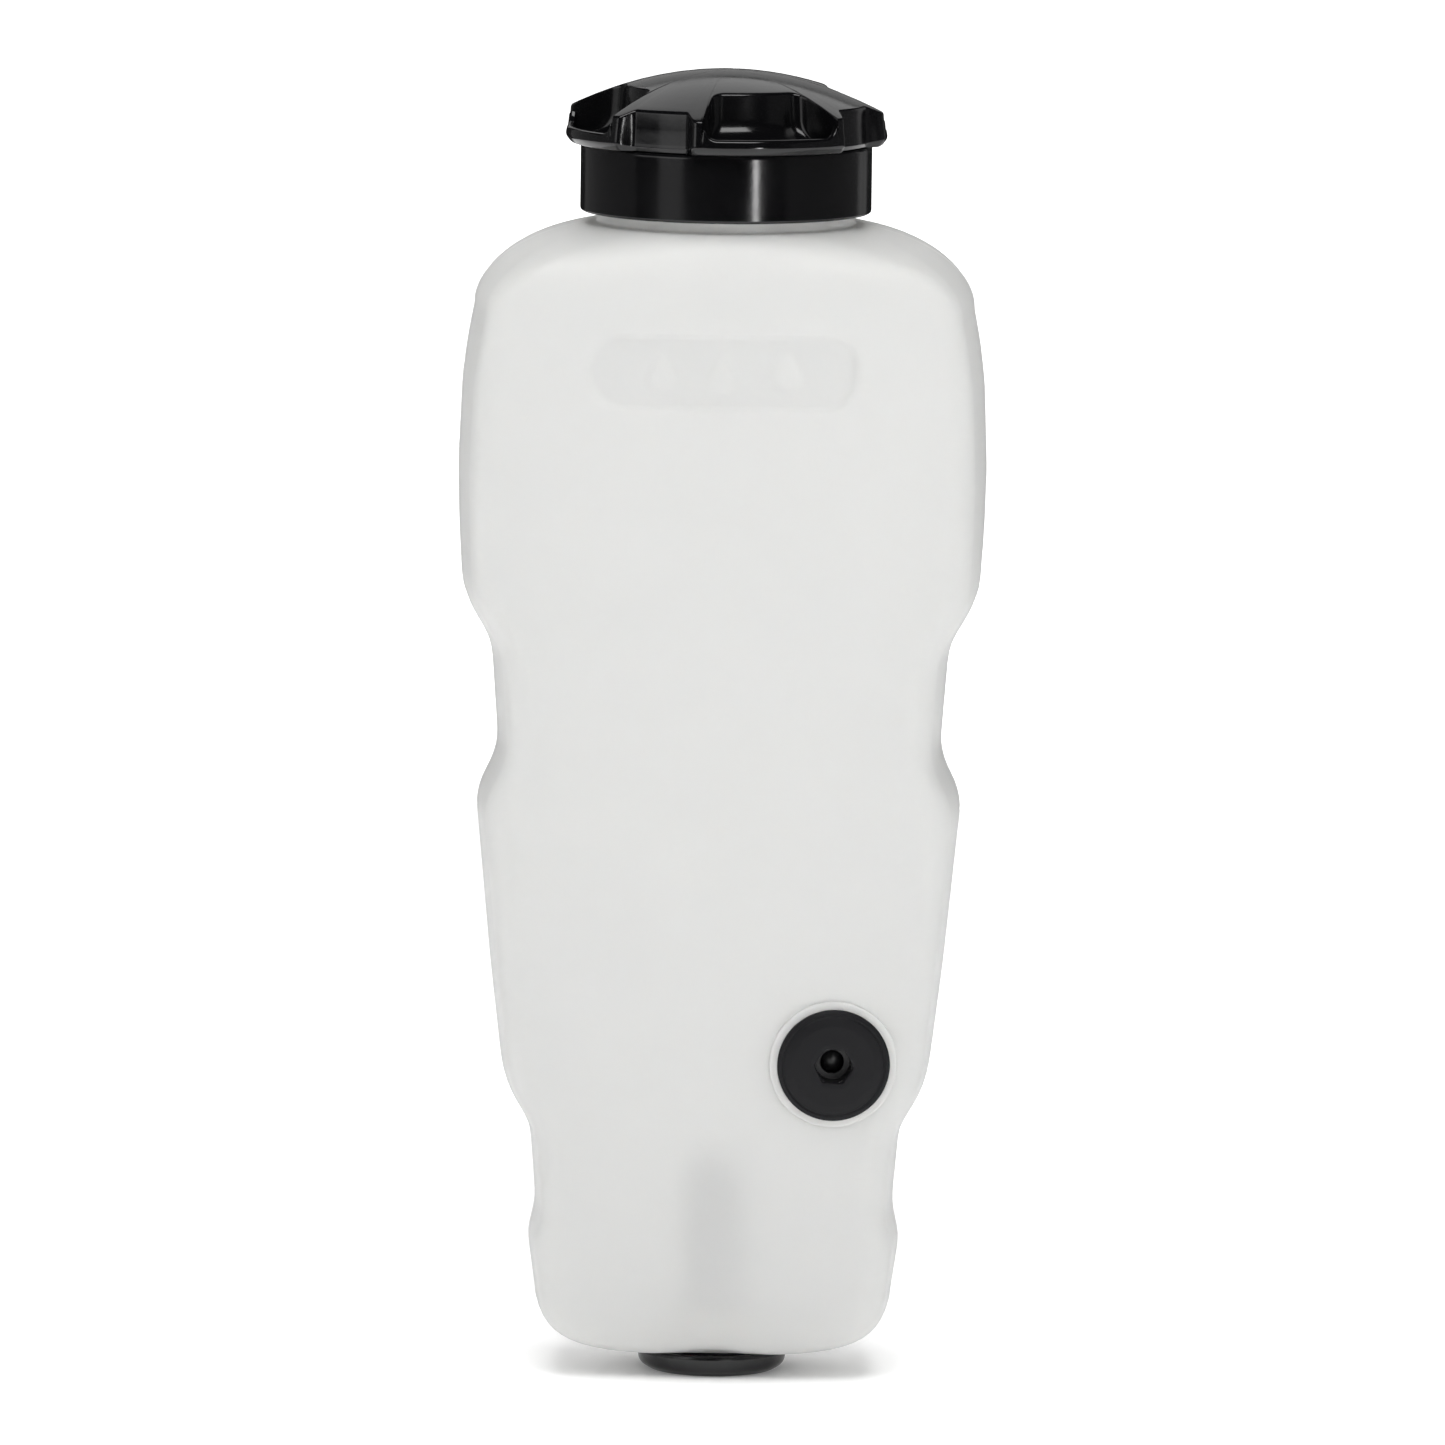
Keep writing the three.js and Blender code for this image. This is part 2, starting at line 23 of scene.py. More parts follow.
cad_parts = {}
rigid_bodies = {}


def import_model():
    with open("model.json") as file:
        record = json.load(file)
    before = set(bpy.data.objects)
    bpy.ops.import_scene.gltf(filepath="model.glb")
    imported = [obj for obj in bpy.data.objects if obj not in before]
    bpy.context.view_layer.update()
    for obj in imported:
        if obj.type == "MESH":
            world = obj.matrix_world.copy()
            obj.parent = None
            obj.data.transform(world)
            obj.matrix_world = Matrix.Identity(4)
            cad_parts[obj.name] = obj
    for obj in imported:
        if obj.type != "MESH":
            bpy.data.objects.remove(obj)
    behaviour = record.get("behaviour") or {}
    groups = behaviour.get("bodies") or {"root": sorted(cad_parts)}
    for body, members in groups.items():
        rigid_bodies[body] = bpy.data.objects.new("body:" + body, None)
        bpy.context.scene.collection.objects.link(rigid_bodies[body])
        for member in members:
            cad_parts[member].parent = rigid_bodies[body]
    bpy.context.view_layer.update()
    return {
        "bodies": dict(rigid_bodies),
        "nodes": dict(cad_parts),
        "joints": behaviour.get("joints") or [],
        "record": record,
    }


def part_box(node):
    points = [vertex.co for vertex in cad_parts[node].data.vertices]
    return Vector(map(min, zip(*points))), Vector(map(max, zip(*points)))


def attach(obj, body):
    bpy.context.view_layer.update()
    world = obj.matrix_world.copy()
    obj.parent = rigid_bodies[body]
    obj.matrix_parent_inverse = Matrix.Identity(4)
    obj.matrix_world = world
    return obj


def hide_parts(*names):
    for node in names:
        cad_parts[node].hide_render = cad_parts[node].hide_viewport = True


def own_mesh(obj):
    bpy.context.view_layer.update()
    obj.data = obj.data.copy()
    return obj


log = logging.getLogger("dispenser_bottle")

MM = 0.001
Point = tuple[float, float]
Offset = Callable[[float, float, float], float]

STRAIGHT = 0.02  # a corner bent less than this, in radians, counts as straight
MOST_OF_RUN = 0.49  # an arc takes up no more of the run beside it than this
WELD = 2e-7  # points nearer than this, in metres, are one
COIL_STEPS = 28  # rings of wire in a turn
COIL_SIDES = 10


# ---------------------------------------------------------------- outlines and meshes
@dataclass(frozen=True)
class Corner:
    """One corner of an outline: distance from the axis, height and fillet radius, in mm."""

    r: float
    z: float
    fillet: float = 0.0


def rounded(corners: Sequence[Corner], steps: int = 5) -> list[Point]:
    """Rounds the filleted corners of an outline with arcs.

    Args:
        corners: The outline's corners in order; its two ends are never rounded.
        steps: Straight pieces in each arc.

    Returns:
        The outline's points as (radius, height) in mm.
    """
    points: list[Point] = []
    for i, corner in enumerate(corners):
        here = Vector((corner.r, corner.z))
        if corner.fillet == 0 or i in (0, len(corners) - 1):
            points.append((here.x, here.y))
            continue
        before = Vector((corners[i - 1].r, corners[i - 1].z)) - here
        after = Vector((corners[i + 1].r, corners[i + 1].z)) - here
        half = before.angle(after) / 2
        if math.pi / 2 - half < STRAIGHT:  # its points are spread along both runs
            ends = here + before.normalized() * corner.fillet, here + after.normalized() * corner.fillet
            points += [tuple(ends[0].lerp(ends[1], k / steps)) for k in range(steps + 1)]
            continue
        shorter = min(before.length, after.length)
        reach = min(corner.fillet / math.tan(half), MOST_OF_RUN * shorter)
        start, end = here + before.normalized() * reach, here + after.normalized() * reach
        radius = reach * math.tan(half)
        centre = here + (before.normalized() + after.normalized()).normalized() * (radius / math.sin(half))
        first, last = start - centre, end - centre
        sweep = first.angle_signed(last) * -1
        for k in range(steps + 1):
            turned = Matrix.Rotation(sweep * k / steps, 2) @ first
            points.append((centre.x + turned.x, centre.y + turned.y))
    return points


def divided(outline: Sequence[Point], low: float, high: float, step: float) -> list[Point]:
    """Adds points to an outline's straight runs between two heights, for a thread to stand on.

    Args:
        outline: The outline as (radius, height) in mm.
        low: Lowest height to divide, in mm.
        high: Highest height to divide, in mm.
        step: Longest run left, in mm.

    Returns:
        The outline with the points added.
    """
    points: list[Point] = []
    for (r0, z0), (r1, z1) in zip(outline, list(outline[1:]) + [outline[0]]):
        points.append((r0, z0))
        if abs(z1 - z0) > step and low <= (z0 + z1) / 2 <= high:
            pieces = math.ceil(abs(z1 - z0) / step)
            points += [(r0 + (r1 - r0) * i / pieces, z0 + (z1 - z0) * i / pieces) for i in range(1, pieces)]
    return points


def skin(name: str, rings: np.ndarray, closed: bool, lined: range = range(0)) -> bpy.types.Object:
    """Skins rows of rings with four-sided faces.

    Args:
        name: The new object's name.
        rings: Points in mm, shaped (rings, points per ring, 3).
        closed: Whether the last ring joins back to the first.
        lined: The rows whose faces take the object's second material.

    Returns:
        The new object, its surface closed and facing out.
    """
    rows, columns = rings.shape[:2]
    count = rows if closed else rows - 1
    faces = []
    for i in range(count):
        a, b = i * columns, ((i + 1) % rows) * columns
        for k in range(columns):
            n = (k + 1) % columns
            faces.append((a + k, a + n, b + n, b + k))
    mesh = bpy.data.meshes.new(name)
    mesh.from_pydata((rings.reshape(-1, 3) * MM).tolist(), [], faces)
    for row in lined:
        for k in range(columns):
            mesh.polygons[row * columns + k].material_index = 1
    piece = bpy.data.objects.new(name, mesh)
    bpy.context.scene.collection.objects.link(piece)
    return tidied(piece)


def tidied(piece: bpy.types.Object, crease_deg: float = 38) -> bpy.types.Object:
    """Welds a mesh, faces it outwards and shades it smooth except at its creases.

    Args:
        piece: The object to tidy.
        crease_deg: Edges bent more than this stay sharp.

    Returns:
        The same object.
    """
    work = bmesh.new()
    work.from_mesh(piece.data)
    bmesh.ops.remove_doubles(work, verts=work.verts, dist=WELD)
    bmesh.ops.dissolve_degenerate(work, edges=work.edges, dist=WELD / 2)
    bmesh.ops.recalc_face_normals(work, faces=work.faces)
    work.to_mesh(piece.data)
    work.free()
    piece.data.shade_smooth()
    piece.data.set_sharp_from_angle(angle=math.radians(crease_deg))
    return piece


def revolved(
    name: str,
    outline: Sequence[Point],
    sides: int = 96,
    offset: Offset | None = None,
) -> bpy.types.Object:
    """Turns an outline about the Z axis.

    Args:
        name: The new object's name.
        outline: Points as (radius, height) in mm, from axis to axis or closing on itself.
        sides: Steps round the axis.
        offset: Extra radius for an angle, a radius and a height, such as a thread's.

    Returns:
        The new object.
    """
    angles = np.linspace(0, 2 * math.pi, sides, endpoint=False)
    rings = np.empty((len(outline), sides, 3))
    for i, (r, z) in enumerate(outline):
        radii = np.full(sides, r)
        if offset:
            radii = radii + np.array([offset(a, r, z) for a in angles])
        rings[i] = np.stack([radii * np.cos(angles), radii * np.sin(angles), np.full(sides, z)], axis=1)
    on_axis = outline[0][0] == 0 and outline[-1][0] == 0
    return skin(name, rings, closed=not on_axis)


def o_ring(name: str, radius: float, section: float, z: float) -> bpy.types.Object:
    """Makes an O-ring that lies flat.

    Args:
        name: The new object's name.
        radius: Radius of the middle of its section, in mm.
        section: Radius of the section, in mm.
        z: Height of its middle, in mm.

    Returns:
        The new object.
    """
    turns = np.linspace(0, 2 * math.pi, 20, endpoint=False)
    outline = [(radius + section * math.cos(t), z + section * math.sin(t)) for t in turns]
    return revolved(name, outline, 72)


@dataclass(frozen=True)
class Coil:
    """A compression spring with closed ends, in mm."""

    radius: float
    wire: float
    low: float
    high: float
    turns: float

    def build(self, name: str) -> bpy.types.Object:
        """Winds the spring.

        Args:
            name: The new object's name.

        Returns:
            The new object.
        """
        steps = int(self.turns * COIL_STEPS)
        rings = []
        for i in range(steps + 1):
            turn = self.turns * i / steps
            rise = self._rise(turn)
            slope = (self._rise(min(turn + 0.01, self.turns)) - rise) / 0.01
            angle = 2 * math.pi * turn
            out = Vector((math.cos(angle), math.sin(angle), 0))
            climb = slope / (2 * math.pi * self.radius)
            along = Vector((-math.sin(angle), math.cos(angle), climb)).normalized()
            up = along.cross(out) * -1
            centre = out * self.radius + Vector((0, 0, rise))
            section = [
                centre + (out * math.cos(t) + up * math.sin(t)) * self.wire
                for t in np.linspace(0, 2 * math.pi, COIL_SIDES, endpoint=False)
            ]
            rings.append([tuple(p) for p in section])
        for end in (0, -1):  # a ring drawn in to a point closes each end
            middle = np.mean(rings[end], axis=0)
            cap = [tuple(middle)] * COIL_SIDES
            rings.insert(0 if end == 0 else len(rings), cap)
        return skin(name, np.array(rings), closed=False)

    def _rise(self, turn: float) -> float:
        """Height of the wire's middle after a number of turns, flat over the first and last."""
        share = np.clip((turn - 1) / (self.turns - 2), 0, 1)
        bottom, top = self.low + self.wire, self.high - self.wire
        closed = 2.2 * self.wire * (min(turn, 1) + max(turn - self.turns + 1, 0))
        return bottom + closed + share * (top - bottom - 4.4 * self.wire)


def cut(piece: bpy.types.Object, tool: bpy.types.Object, operation: str = "DIFFERENCE") -> None:
    """Cuts a tool's shape from a piece, or joins it on, and removes the tool.

    Args:
        piece: The object that is kept.
        tool: The object that is used up.
        operation: DIFFERENCE or UNION.
    """
    step = piece.modifiers.new("shape", "BOOLEAN")
    step.operation, step.object, step.solver = operation, tool, "EXACT"
    graph = bpy.context.evaluated_depsgraph_get()
    made = bpy.data.meshes.new_from_object(piece.evaluated_get(graph))
    piece.modifiers.clear()
    piece.data = made
    bpy.data.objects.remove(tool)


def place(
    piece: bpy.types.Object,
    body: str,
    finish: Finish,
    replaces: Sequence[str] = (),
    frame: Matrix | None = None,
    lining: Sequence[Finish] = (),
) -> bpy.types.Object:
    """Puts a finished piece on its body and reports it.

    Args:
        piece: The new piece.
        body: The frame body that carries it.
        finish: Its surface finish.
        replaces: The frame nodes that it stands for.
        frame: Where its own axes lie, if it was built in them.
        lining: The finish of its second material, where it has one.

    Returns:
        The same piece.
    """
    if frame is not None:
        piece.data.transform(frame)
    kept = [face.material_index for face in piece.data.polygons]
    piece.data.materials.clear()
    for layer in (finish, *lining):
        piece.data.materials.append(layer.material())
    piece.data.polygons.foreach_set("material_index", kept)
    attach(piece, body)
    if replaces:
        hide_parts(*replaces)
    log.info("%-18s on %-10s %6d faces, %s", piece.name, body, len(piece.data.polygons), finish.name)
    return piece


# ---------------------------------------------------------------- finishes
class Slot(Enum):
    """The record's material slots."""

    HDPE = "hdpe_natural"
    GLOSS_PP = "pp_black_gloss"
    SATIN_PP = "pp_black_satin"
    EPDM = "epdm_black"
    FOAM = "pe_foam_liner"
    SILICONE = "silicone_clear"
    NYLON = "nylon_natural"
    WIRE = "stainless_wire"


def linear(srgb_hex: str) -> tuple[float, float, float, float]:
    """Turns an sRGB hex colour such as "E7E7E4" into linear light with full alpha."""
    channels = [int(srgb_hex[i : i + 2], 16) / 255 for i in (0, 2, 4)]
    light = [c / 12.92 if c <= 0.04045 else ((c + 0.055) / 1.055) ** 2.4 for c in channels]
    return (light[0], light[1], light[2], 1.0)


def per_mm(size_mm: float) -> float:
    """Texture scale, in object metres, that repeats a pattern every so many millimetres."""
    return 1 / (size_mm * MM)


def add_node(
    tree: bpy.types.NodeTree,
    kind: str,
    settings: dict[str, Any] | None = None,
    links: dict[str, bpy.types.NodeSocket] | None = None,
) -> bpy.types.Node:
    """Adds a node with its settings and the links into it.

    Args:
        tree: The node tree.
        kind: The node's type name.
        settings: Values by property name or, failing that, by input socket name.
        links: Output sockets by the name of the input that each one feeds.

    Returns:
        The new node.
    """
    node = tree.nodes.new(kind)
    for name, value in (settings or {}).items():
        if name in node.inputs:
            node.inputs[name].default_value = value
        else:
            setattr(node, name, value)
    for name, socket in (links or {}).items():
        tree.links.new(socket, node.inputs[name])
    return node


@dataclass(frozen=True)
class Finish:
    """A moulded or drawn surface, with fine grain and a slight unevenness in tone and gloss.

    The grain is a bump, the tone drifts between two shades over the drift size, and the gloss
    varies with it, as on any handled part.
    """

    name: str
    slot: Slot
    shade: str
    deep: str
    roughness: float
    ior: float = 1.5
    metallic: float = 0.0
    grain_mm: float = 0.4
    grain_depth: float = 0.05
    drift_mm: float = 14.0
    gloss_drift: float = 0.04
    extra: tuple[tuple[str, Any], ...] = ()

    def material(self) -> bpy.types.Material:
        """Returns the finish's material, made on first use."""
        made = bpy.data.materials.get(self.name)
        return made if made else self._build()

    def _build(self) -> bpy.types.Material:
        """Builds the node tree."""
        made = bpy.data.materials.new(self.name)
        made.use_nodes = True
        tree = made.node_tree
        tree.nodes.clear()
        place_of = add_node(tree, "ShaderNodeTexCoord").outputs["Object"]
        uneven = {"Scale": per_mm(self.drift_mm), "Detail": 3.0, "Roughness": 0.55}
        drift = add_node(tree, "ShaderNodeTexNoise", uneven, {"Vector": place_of}).outputs["Fac"]
        colour = self._colour(tree, drift)
        low, high = self.roughness - self.gloss_drift, self.roughness + self.gloss_drift
        spread = {"From Min": 0.3, "From Max": 0.7, "To Min": low, "To Max": high}
        gloss = add_node(tree, "ShaderNodeMapRange", spread, {"Value": drift}).outputs["Result"]
        shader = add_node(
            tree,
            "ShaderNodeBsdfPrincipled",
            {"IOR": self.ior, "Metallic": self.metallic, **dict(self.extra)},
            {"Base Color": colour, "Roughness": gloss, "Normal": self._relief(tree, place_of)},
        )
        add_node(tree, "ShaderNodeOutputMaterial", links={"Surface": shader.outputs["BSDF"]})
        return made

    def _colour(self, tree: bpy.types.NodeTree, drift: bpy.types.NodeSocket) -> bpy.types.NodeSocket:
        """Mixes the two shades by the drift."""
        mixed = add_node(tree, "ShaderNodeMix", {"data_type": "RGBA"}, {"Factor": drift})
        mixed.inputs[6].default_value = linear(self.deep)
        mixed.inputs[7].default_value = linear(self.shade)
        return mixed.outputs[2]

    def _relief(self, tree: bpy.types.NodeTree, place_of: bpy.types.NodeSocket) -> bpy.types.NodeSocket:
        """Bumps the surface with its grain."""
        return self._grained(tree, place_of, {})

    def _grained(
        self,
        tree: bpy.types.NodeTree,
        place_of: bpy.types.NodeSocket,
        under: dict[str, bpy.types.NodeSocket],
    ) -> bpy.types.NodeSocket:
        """Adds the grain over any bump that lies under it.

        Args:
            tree: The node tree.
            place_of: The object's coordinates.
            under: The normal to build on, by its input's name, or nothing.

        Returns:
            The bumped normal.
        """
        fine = {"Scale": per_mm(self.grain_mm), "Detail": 2.0}
        grain = add_node(tree, "ShaderNodeTexNoise", fine, {"Vector": place_of})
        relief = {"Strength": self.grain_depth, "Distance": self.grain_mm * MM * 0.3}
        links = {"Height": grain.outputs["Fac"], **under}
        return add_node(tree, "ShaderNodeBump", relief, links).outputs["Normal"]


@dataclass(frozen=True)
class BlownFinish(Finish):
    """Blow-moulded wall: the parison's faint upright die lines lie under the mould's blasted grain."""

    die_line_mm: float = 5.0
    die_line_depth: float = 0.06

    def _relief(self, tree: bpy.types.NodeTree, place_of: bpy.types.NodeSocket) -> bpy.types.NodeSocket:
        """Bumps the surface with grain over long upright die lines."""
        upright = {"Scale": (1.0, 1.0, 0.04)}
        stretched = add_node(tree, "ShaderNodeMapping", upright, {"Vector": place_of}).outputs["Vector"]
        spaced = {"Scale": per_mm(self.die_line_mm), "Detail": 1.0}
        lines = add_node(tree, "ShaderNodeTexNoise", spaced, {"Vector": stretched}).outputs["Fac"]
        relief = {"Strength": self.die_line_depth, "Distance": 0.4 * MM}
        drawn = add_node(tree, "ShaderNodeBump", relief, {"Height": lines}).outputs["Normal"]
        return self._grained(tree, place_of, {"Normal": drawn})


# Natural HDPE, blow-moulded: milky and translucent, so what stands inside shows as a soft shadow.
NATURAL_HDPE = BlownFinish(
    name="Natural HDPE, blow-moulded",
    slot=Slot.HDPE,
    shade="EFEFED",
    deep="ECECE9",
    roughness=0.5,
    ior=1.54,
    grain_mm=0.9,  # the blasted grain is nearer 0.1 mm, drawn coarser so that it shows
    grain_depth=0.04,
    drift_mm=45,
    gloss_drift=0.03,
    extra=(
        ("Transmission Weight", 0.4),
        ("Subsurface Weight", 1.0),
        ("Subsurface Radius", (1.0, 0.98, 0.95)),
        ("Subsurface Scale", 4 * MM),
    ),
)
# The inside of the same wall is as glossy as it left the parison, so the eye looks through it.
HDPE_INSIDE = Finish(
    name="Natural HDPE, blown inside",
    slot=Slot.HDPE,
    shade="F2F2F0",
    deep="EFEFEC",
    roughness=0.12,
    ior=1.54,
    grain_mm=1.5,
    grain_depth=0.02,
    gloss_drift=0.02,
    extra=(("Transmission Weight", 0.9),),
)
# Black polypropylene from a polished mould: deep, wet-looking gloss with a trace of handling.
GLOSS_PP = Finish(
    name="Black polypropylene, polished mould",
    slot=Slot.GLOSS_PP,
    shade="09090B",
    deep="060607",
    roughness=0.15,
    ior=1.49,
    grain_mm=2.5,
    grain_depth=0.02,
    gloss_drift=0.05,
)
# The same resin from a plainer mould, on the pieces that only the liquid sees.
SATIN_PP = Finish(
    name="Black polypropylene, satin mould",
    slot=Slot.SATIN_PP,
    shade="161618",
    deep="101011",
    roughness=0.42,
    ior=1.49,
    grain_mm=0.5,
)
# Compression-moulded EPDM: charcoal, softly reflecting, with a dusty bloom.
EPDM = Finish(
    name="EPDM rubber, moulded satin",
    slot=Slot.EPDM,
    shade="1A1A1C",
    deep="141416",
    roughness=0.5,
    ior=1.52,
    grain_mm=0.35,
    grain_depth=0.12,
    drift_mm=6,
    extra=(("Specular IOR Level", 0.15),),
)
# The foot's EPDM comes from a polished mould and is often wet, so it is glossier; its darker shade is painted
# shade for the foot standing in the table's shadow.
SHADED_FOOT_EPDM = Finish(
    name="EPDM rubber, moulded gloss",
    slot=Slot.EPDM,
    shade="151517",
    deep="0D0D0E",
    roughness=0.24,
    ior=1.52,
    grain_mm=1.2,
    grain_depth=0.03,
)
# Closed-cell PE foam, cut from sheet: pale, matt and lightly pitted.
PE_FOAM = Finish(
    name="PE foam, closed cell",
    slot=Slot.FOAM,
    shade="D2D3D1",
    deep="BFC0BD",
    roughness=0.8,
    grain_mm=0.6,
    grain_depth=0.5,
    drift_mm=3,
)
# Moulded silicone: hazy clear, with the soft shine of rubber.
SILICONE = Finish(
    name="Silicone rubber, clear moulded",
    slot=Slot.SILICONE,
    shade="DDE3E4",
    deep="D0D8DA",
    roughness=0.35,
    ior=1.41,
    extra=(("Transmission Weight", 0.4),),
)
# Natural nylon 66 from a satin mould: warm ivory, and light goes a little way in at its edges.
NYLON = Finish(
    name="Nylon 66, natural moulded",
    slot=Slot.NYLON,
    shade="E8E4D8",
    deep="DDD8C9",
    roughness=0.42,
    ior=1.53,
    extra=(("Subsurface Weight", 0.3), ("Subsurface Scale", 1 * MM)),
)
# Drawn stainless wire: bright, with fine lines that blur its reflections.
STEEL_WIRE = Finish(
    name="Stainless steel, drawn wire",
    slot=Slot.WIRE,
    shade="C9CACC",
    deep="B4B5B8",
    roughness=0.3,
    metallic=1.0,
    grain_mm=0.15,
    grain_depth=0.1,
    drift_mm=4,
)
# The check ball is tumbled smooth, a touch glossier than the cartridge round it.
BALL_PP = Finish(
    name="Black polypropylene, tumbled ball",
    slot=Slot.SATIN_PP,
    shade="131315",
    deep="0D0D0E",
    roughness=0.34,
    ior=1.49,
    grain_mm=0.8,
)


# ---------------------------------------------------------------- thread
@dataclass(frozen=True)
class Thread:
    """Double-start right-hand thread between neck and cap, in mm."""

    lead: float = 8.4
    starts: int = 2
    turns: float = 0.78
    first_z: float = 244.7
    height: float = 1.5
    root_half: float = 1.15
    crest_half: float = 0.5

    def rise(self, angle: float, z: float, first_turn: float = 0.0, shift: float = 0.0) -> float:
        """Height of the ridge over its cylinder.

        Args:
            angle: Direction round the axis, in radians.
            z: Height, in mm.
            first_turn: Turn at which the ridge starts.
            shift: How far the whole helix is moved up, in mm.

        Returns:
            The ridge's height in mm, nothing between ridges.
        """
        best = 0.0
        for start in range(self.starts):
            base = (angle / (2 * math.pi) - start / self.starts) % 1
            for turn in (base, base + 1):
                run = turn - first_turn
                if not 0 <= run <= self.turns:
                    continue
                away = abs(z - (self.first_z + shift + turn * self.lead))
                flank = np.clip((self.root_half - away) / (self.root_half - self.crest_half), 0, 1)
                fade = np.clip(min(run, self.turns - run) / 0.06, 0, 1)
                best = max(best, self.height * flank * math.sqrt(fade))
        return best


THREAD = Thread()


# ---------------------------------------------------------------- body
def solid_sizes(node: bpy.types.Object, heights: Sequence[float]) -> np.ndarray:
    """Measures a frame solid's reach along +X and +Y at some heights.

    Args:
        node: The frame node.
        heights: Heights in mm.

    Returns:
        Half widths and half depths in mm, shaped (heights, 2).
    """
    points = np.array([v.co for v in node.data.vertices]) / MM
    edges = points[np.array([e.vertices for e in node.data.edges])]
    low, high = edges[:, 0], edges[:, 1]
    sizes = []
    for z in heights:
        crossing = (low[:, 2] - z) * (high[:, 2] - z) < 0
        a, b = low[crossing], high[crossing]
        share = (z - a[:, 2]) / (b[:, 2] - a[:, 2])
        reach = a[:, :2] + (b[:, :2] - a[:, :2]) * share[:, None]
        sizes.append(reach.max(axis=0))
    return np.array(sizes)


@dataclass(frozen=True)
class Badge:
    """A plain pill-shaped panel sunk in the front face, with three droplets standing in it, in mm."""

    z: float = 212.2
    half_length: float = 28.0
    half_height: float = 7.4
    depth: float = 0.35
    soft: float = 1.3
    drops: tuple[float, ...] = (-13.0, 0.0, 13.0)
    drop_radius: float = 2.7
    drop_tip: float = 4.6

    def depth_at(self, x: float, z: float) -> float:
        """Depth of the panel under a point of the front face, in mm."""
        up = z - self.z
        along = max(abs(x) - (self.half_length - self.half_height), 0)
        inside = self.half_height - math.hypot(along, up)
        sunk = self._soft_step(inside)
        return self.depth * (sunk - 0.75 * max(self._drop(x - middle, up + 1) for middle in self.drops))

    def _drop(self, x: float, up: float) -> float:
        """How far a point is inside a droplet, softened to between nought and one."""
        if up <= 0:
            inside = self.drop_radius - math.hypot(x, up)
        else:
            taper = max(1 - up / self.drop_tip, 0) ** 0.8
            inside = self.drop_radius * taper - abs(x)
        return self._soft_step(inside)

    def _soft_step(self, inside: float) -> float:
        """A rounded step over the soft edge's width."""
        t = float(np.clip(inside / self.soft + 0.5, 0, 1))
        return t * t * (3 - 2 * t)


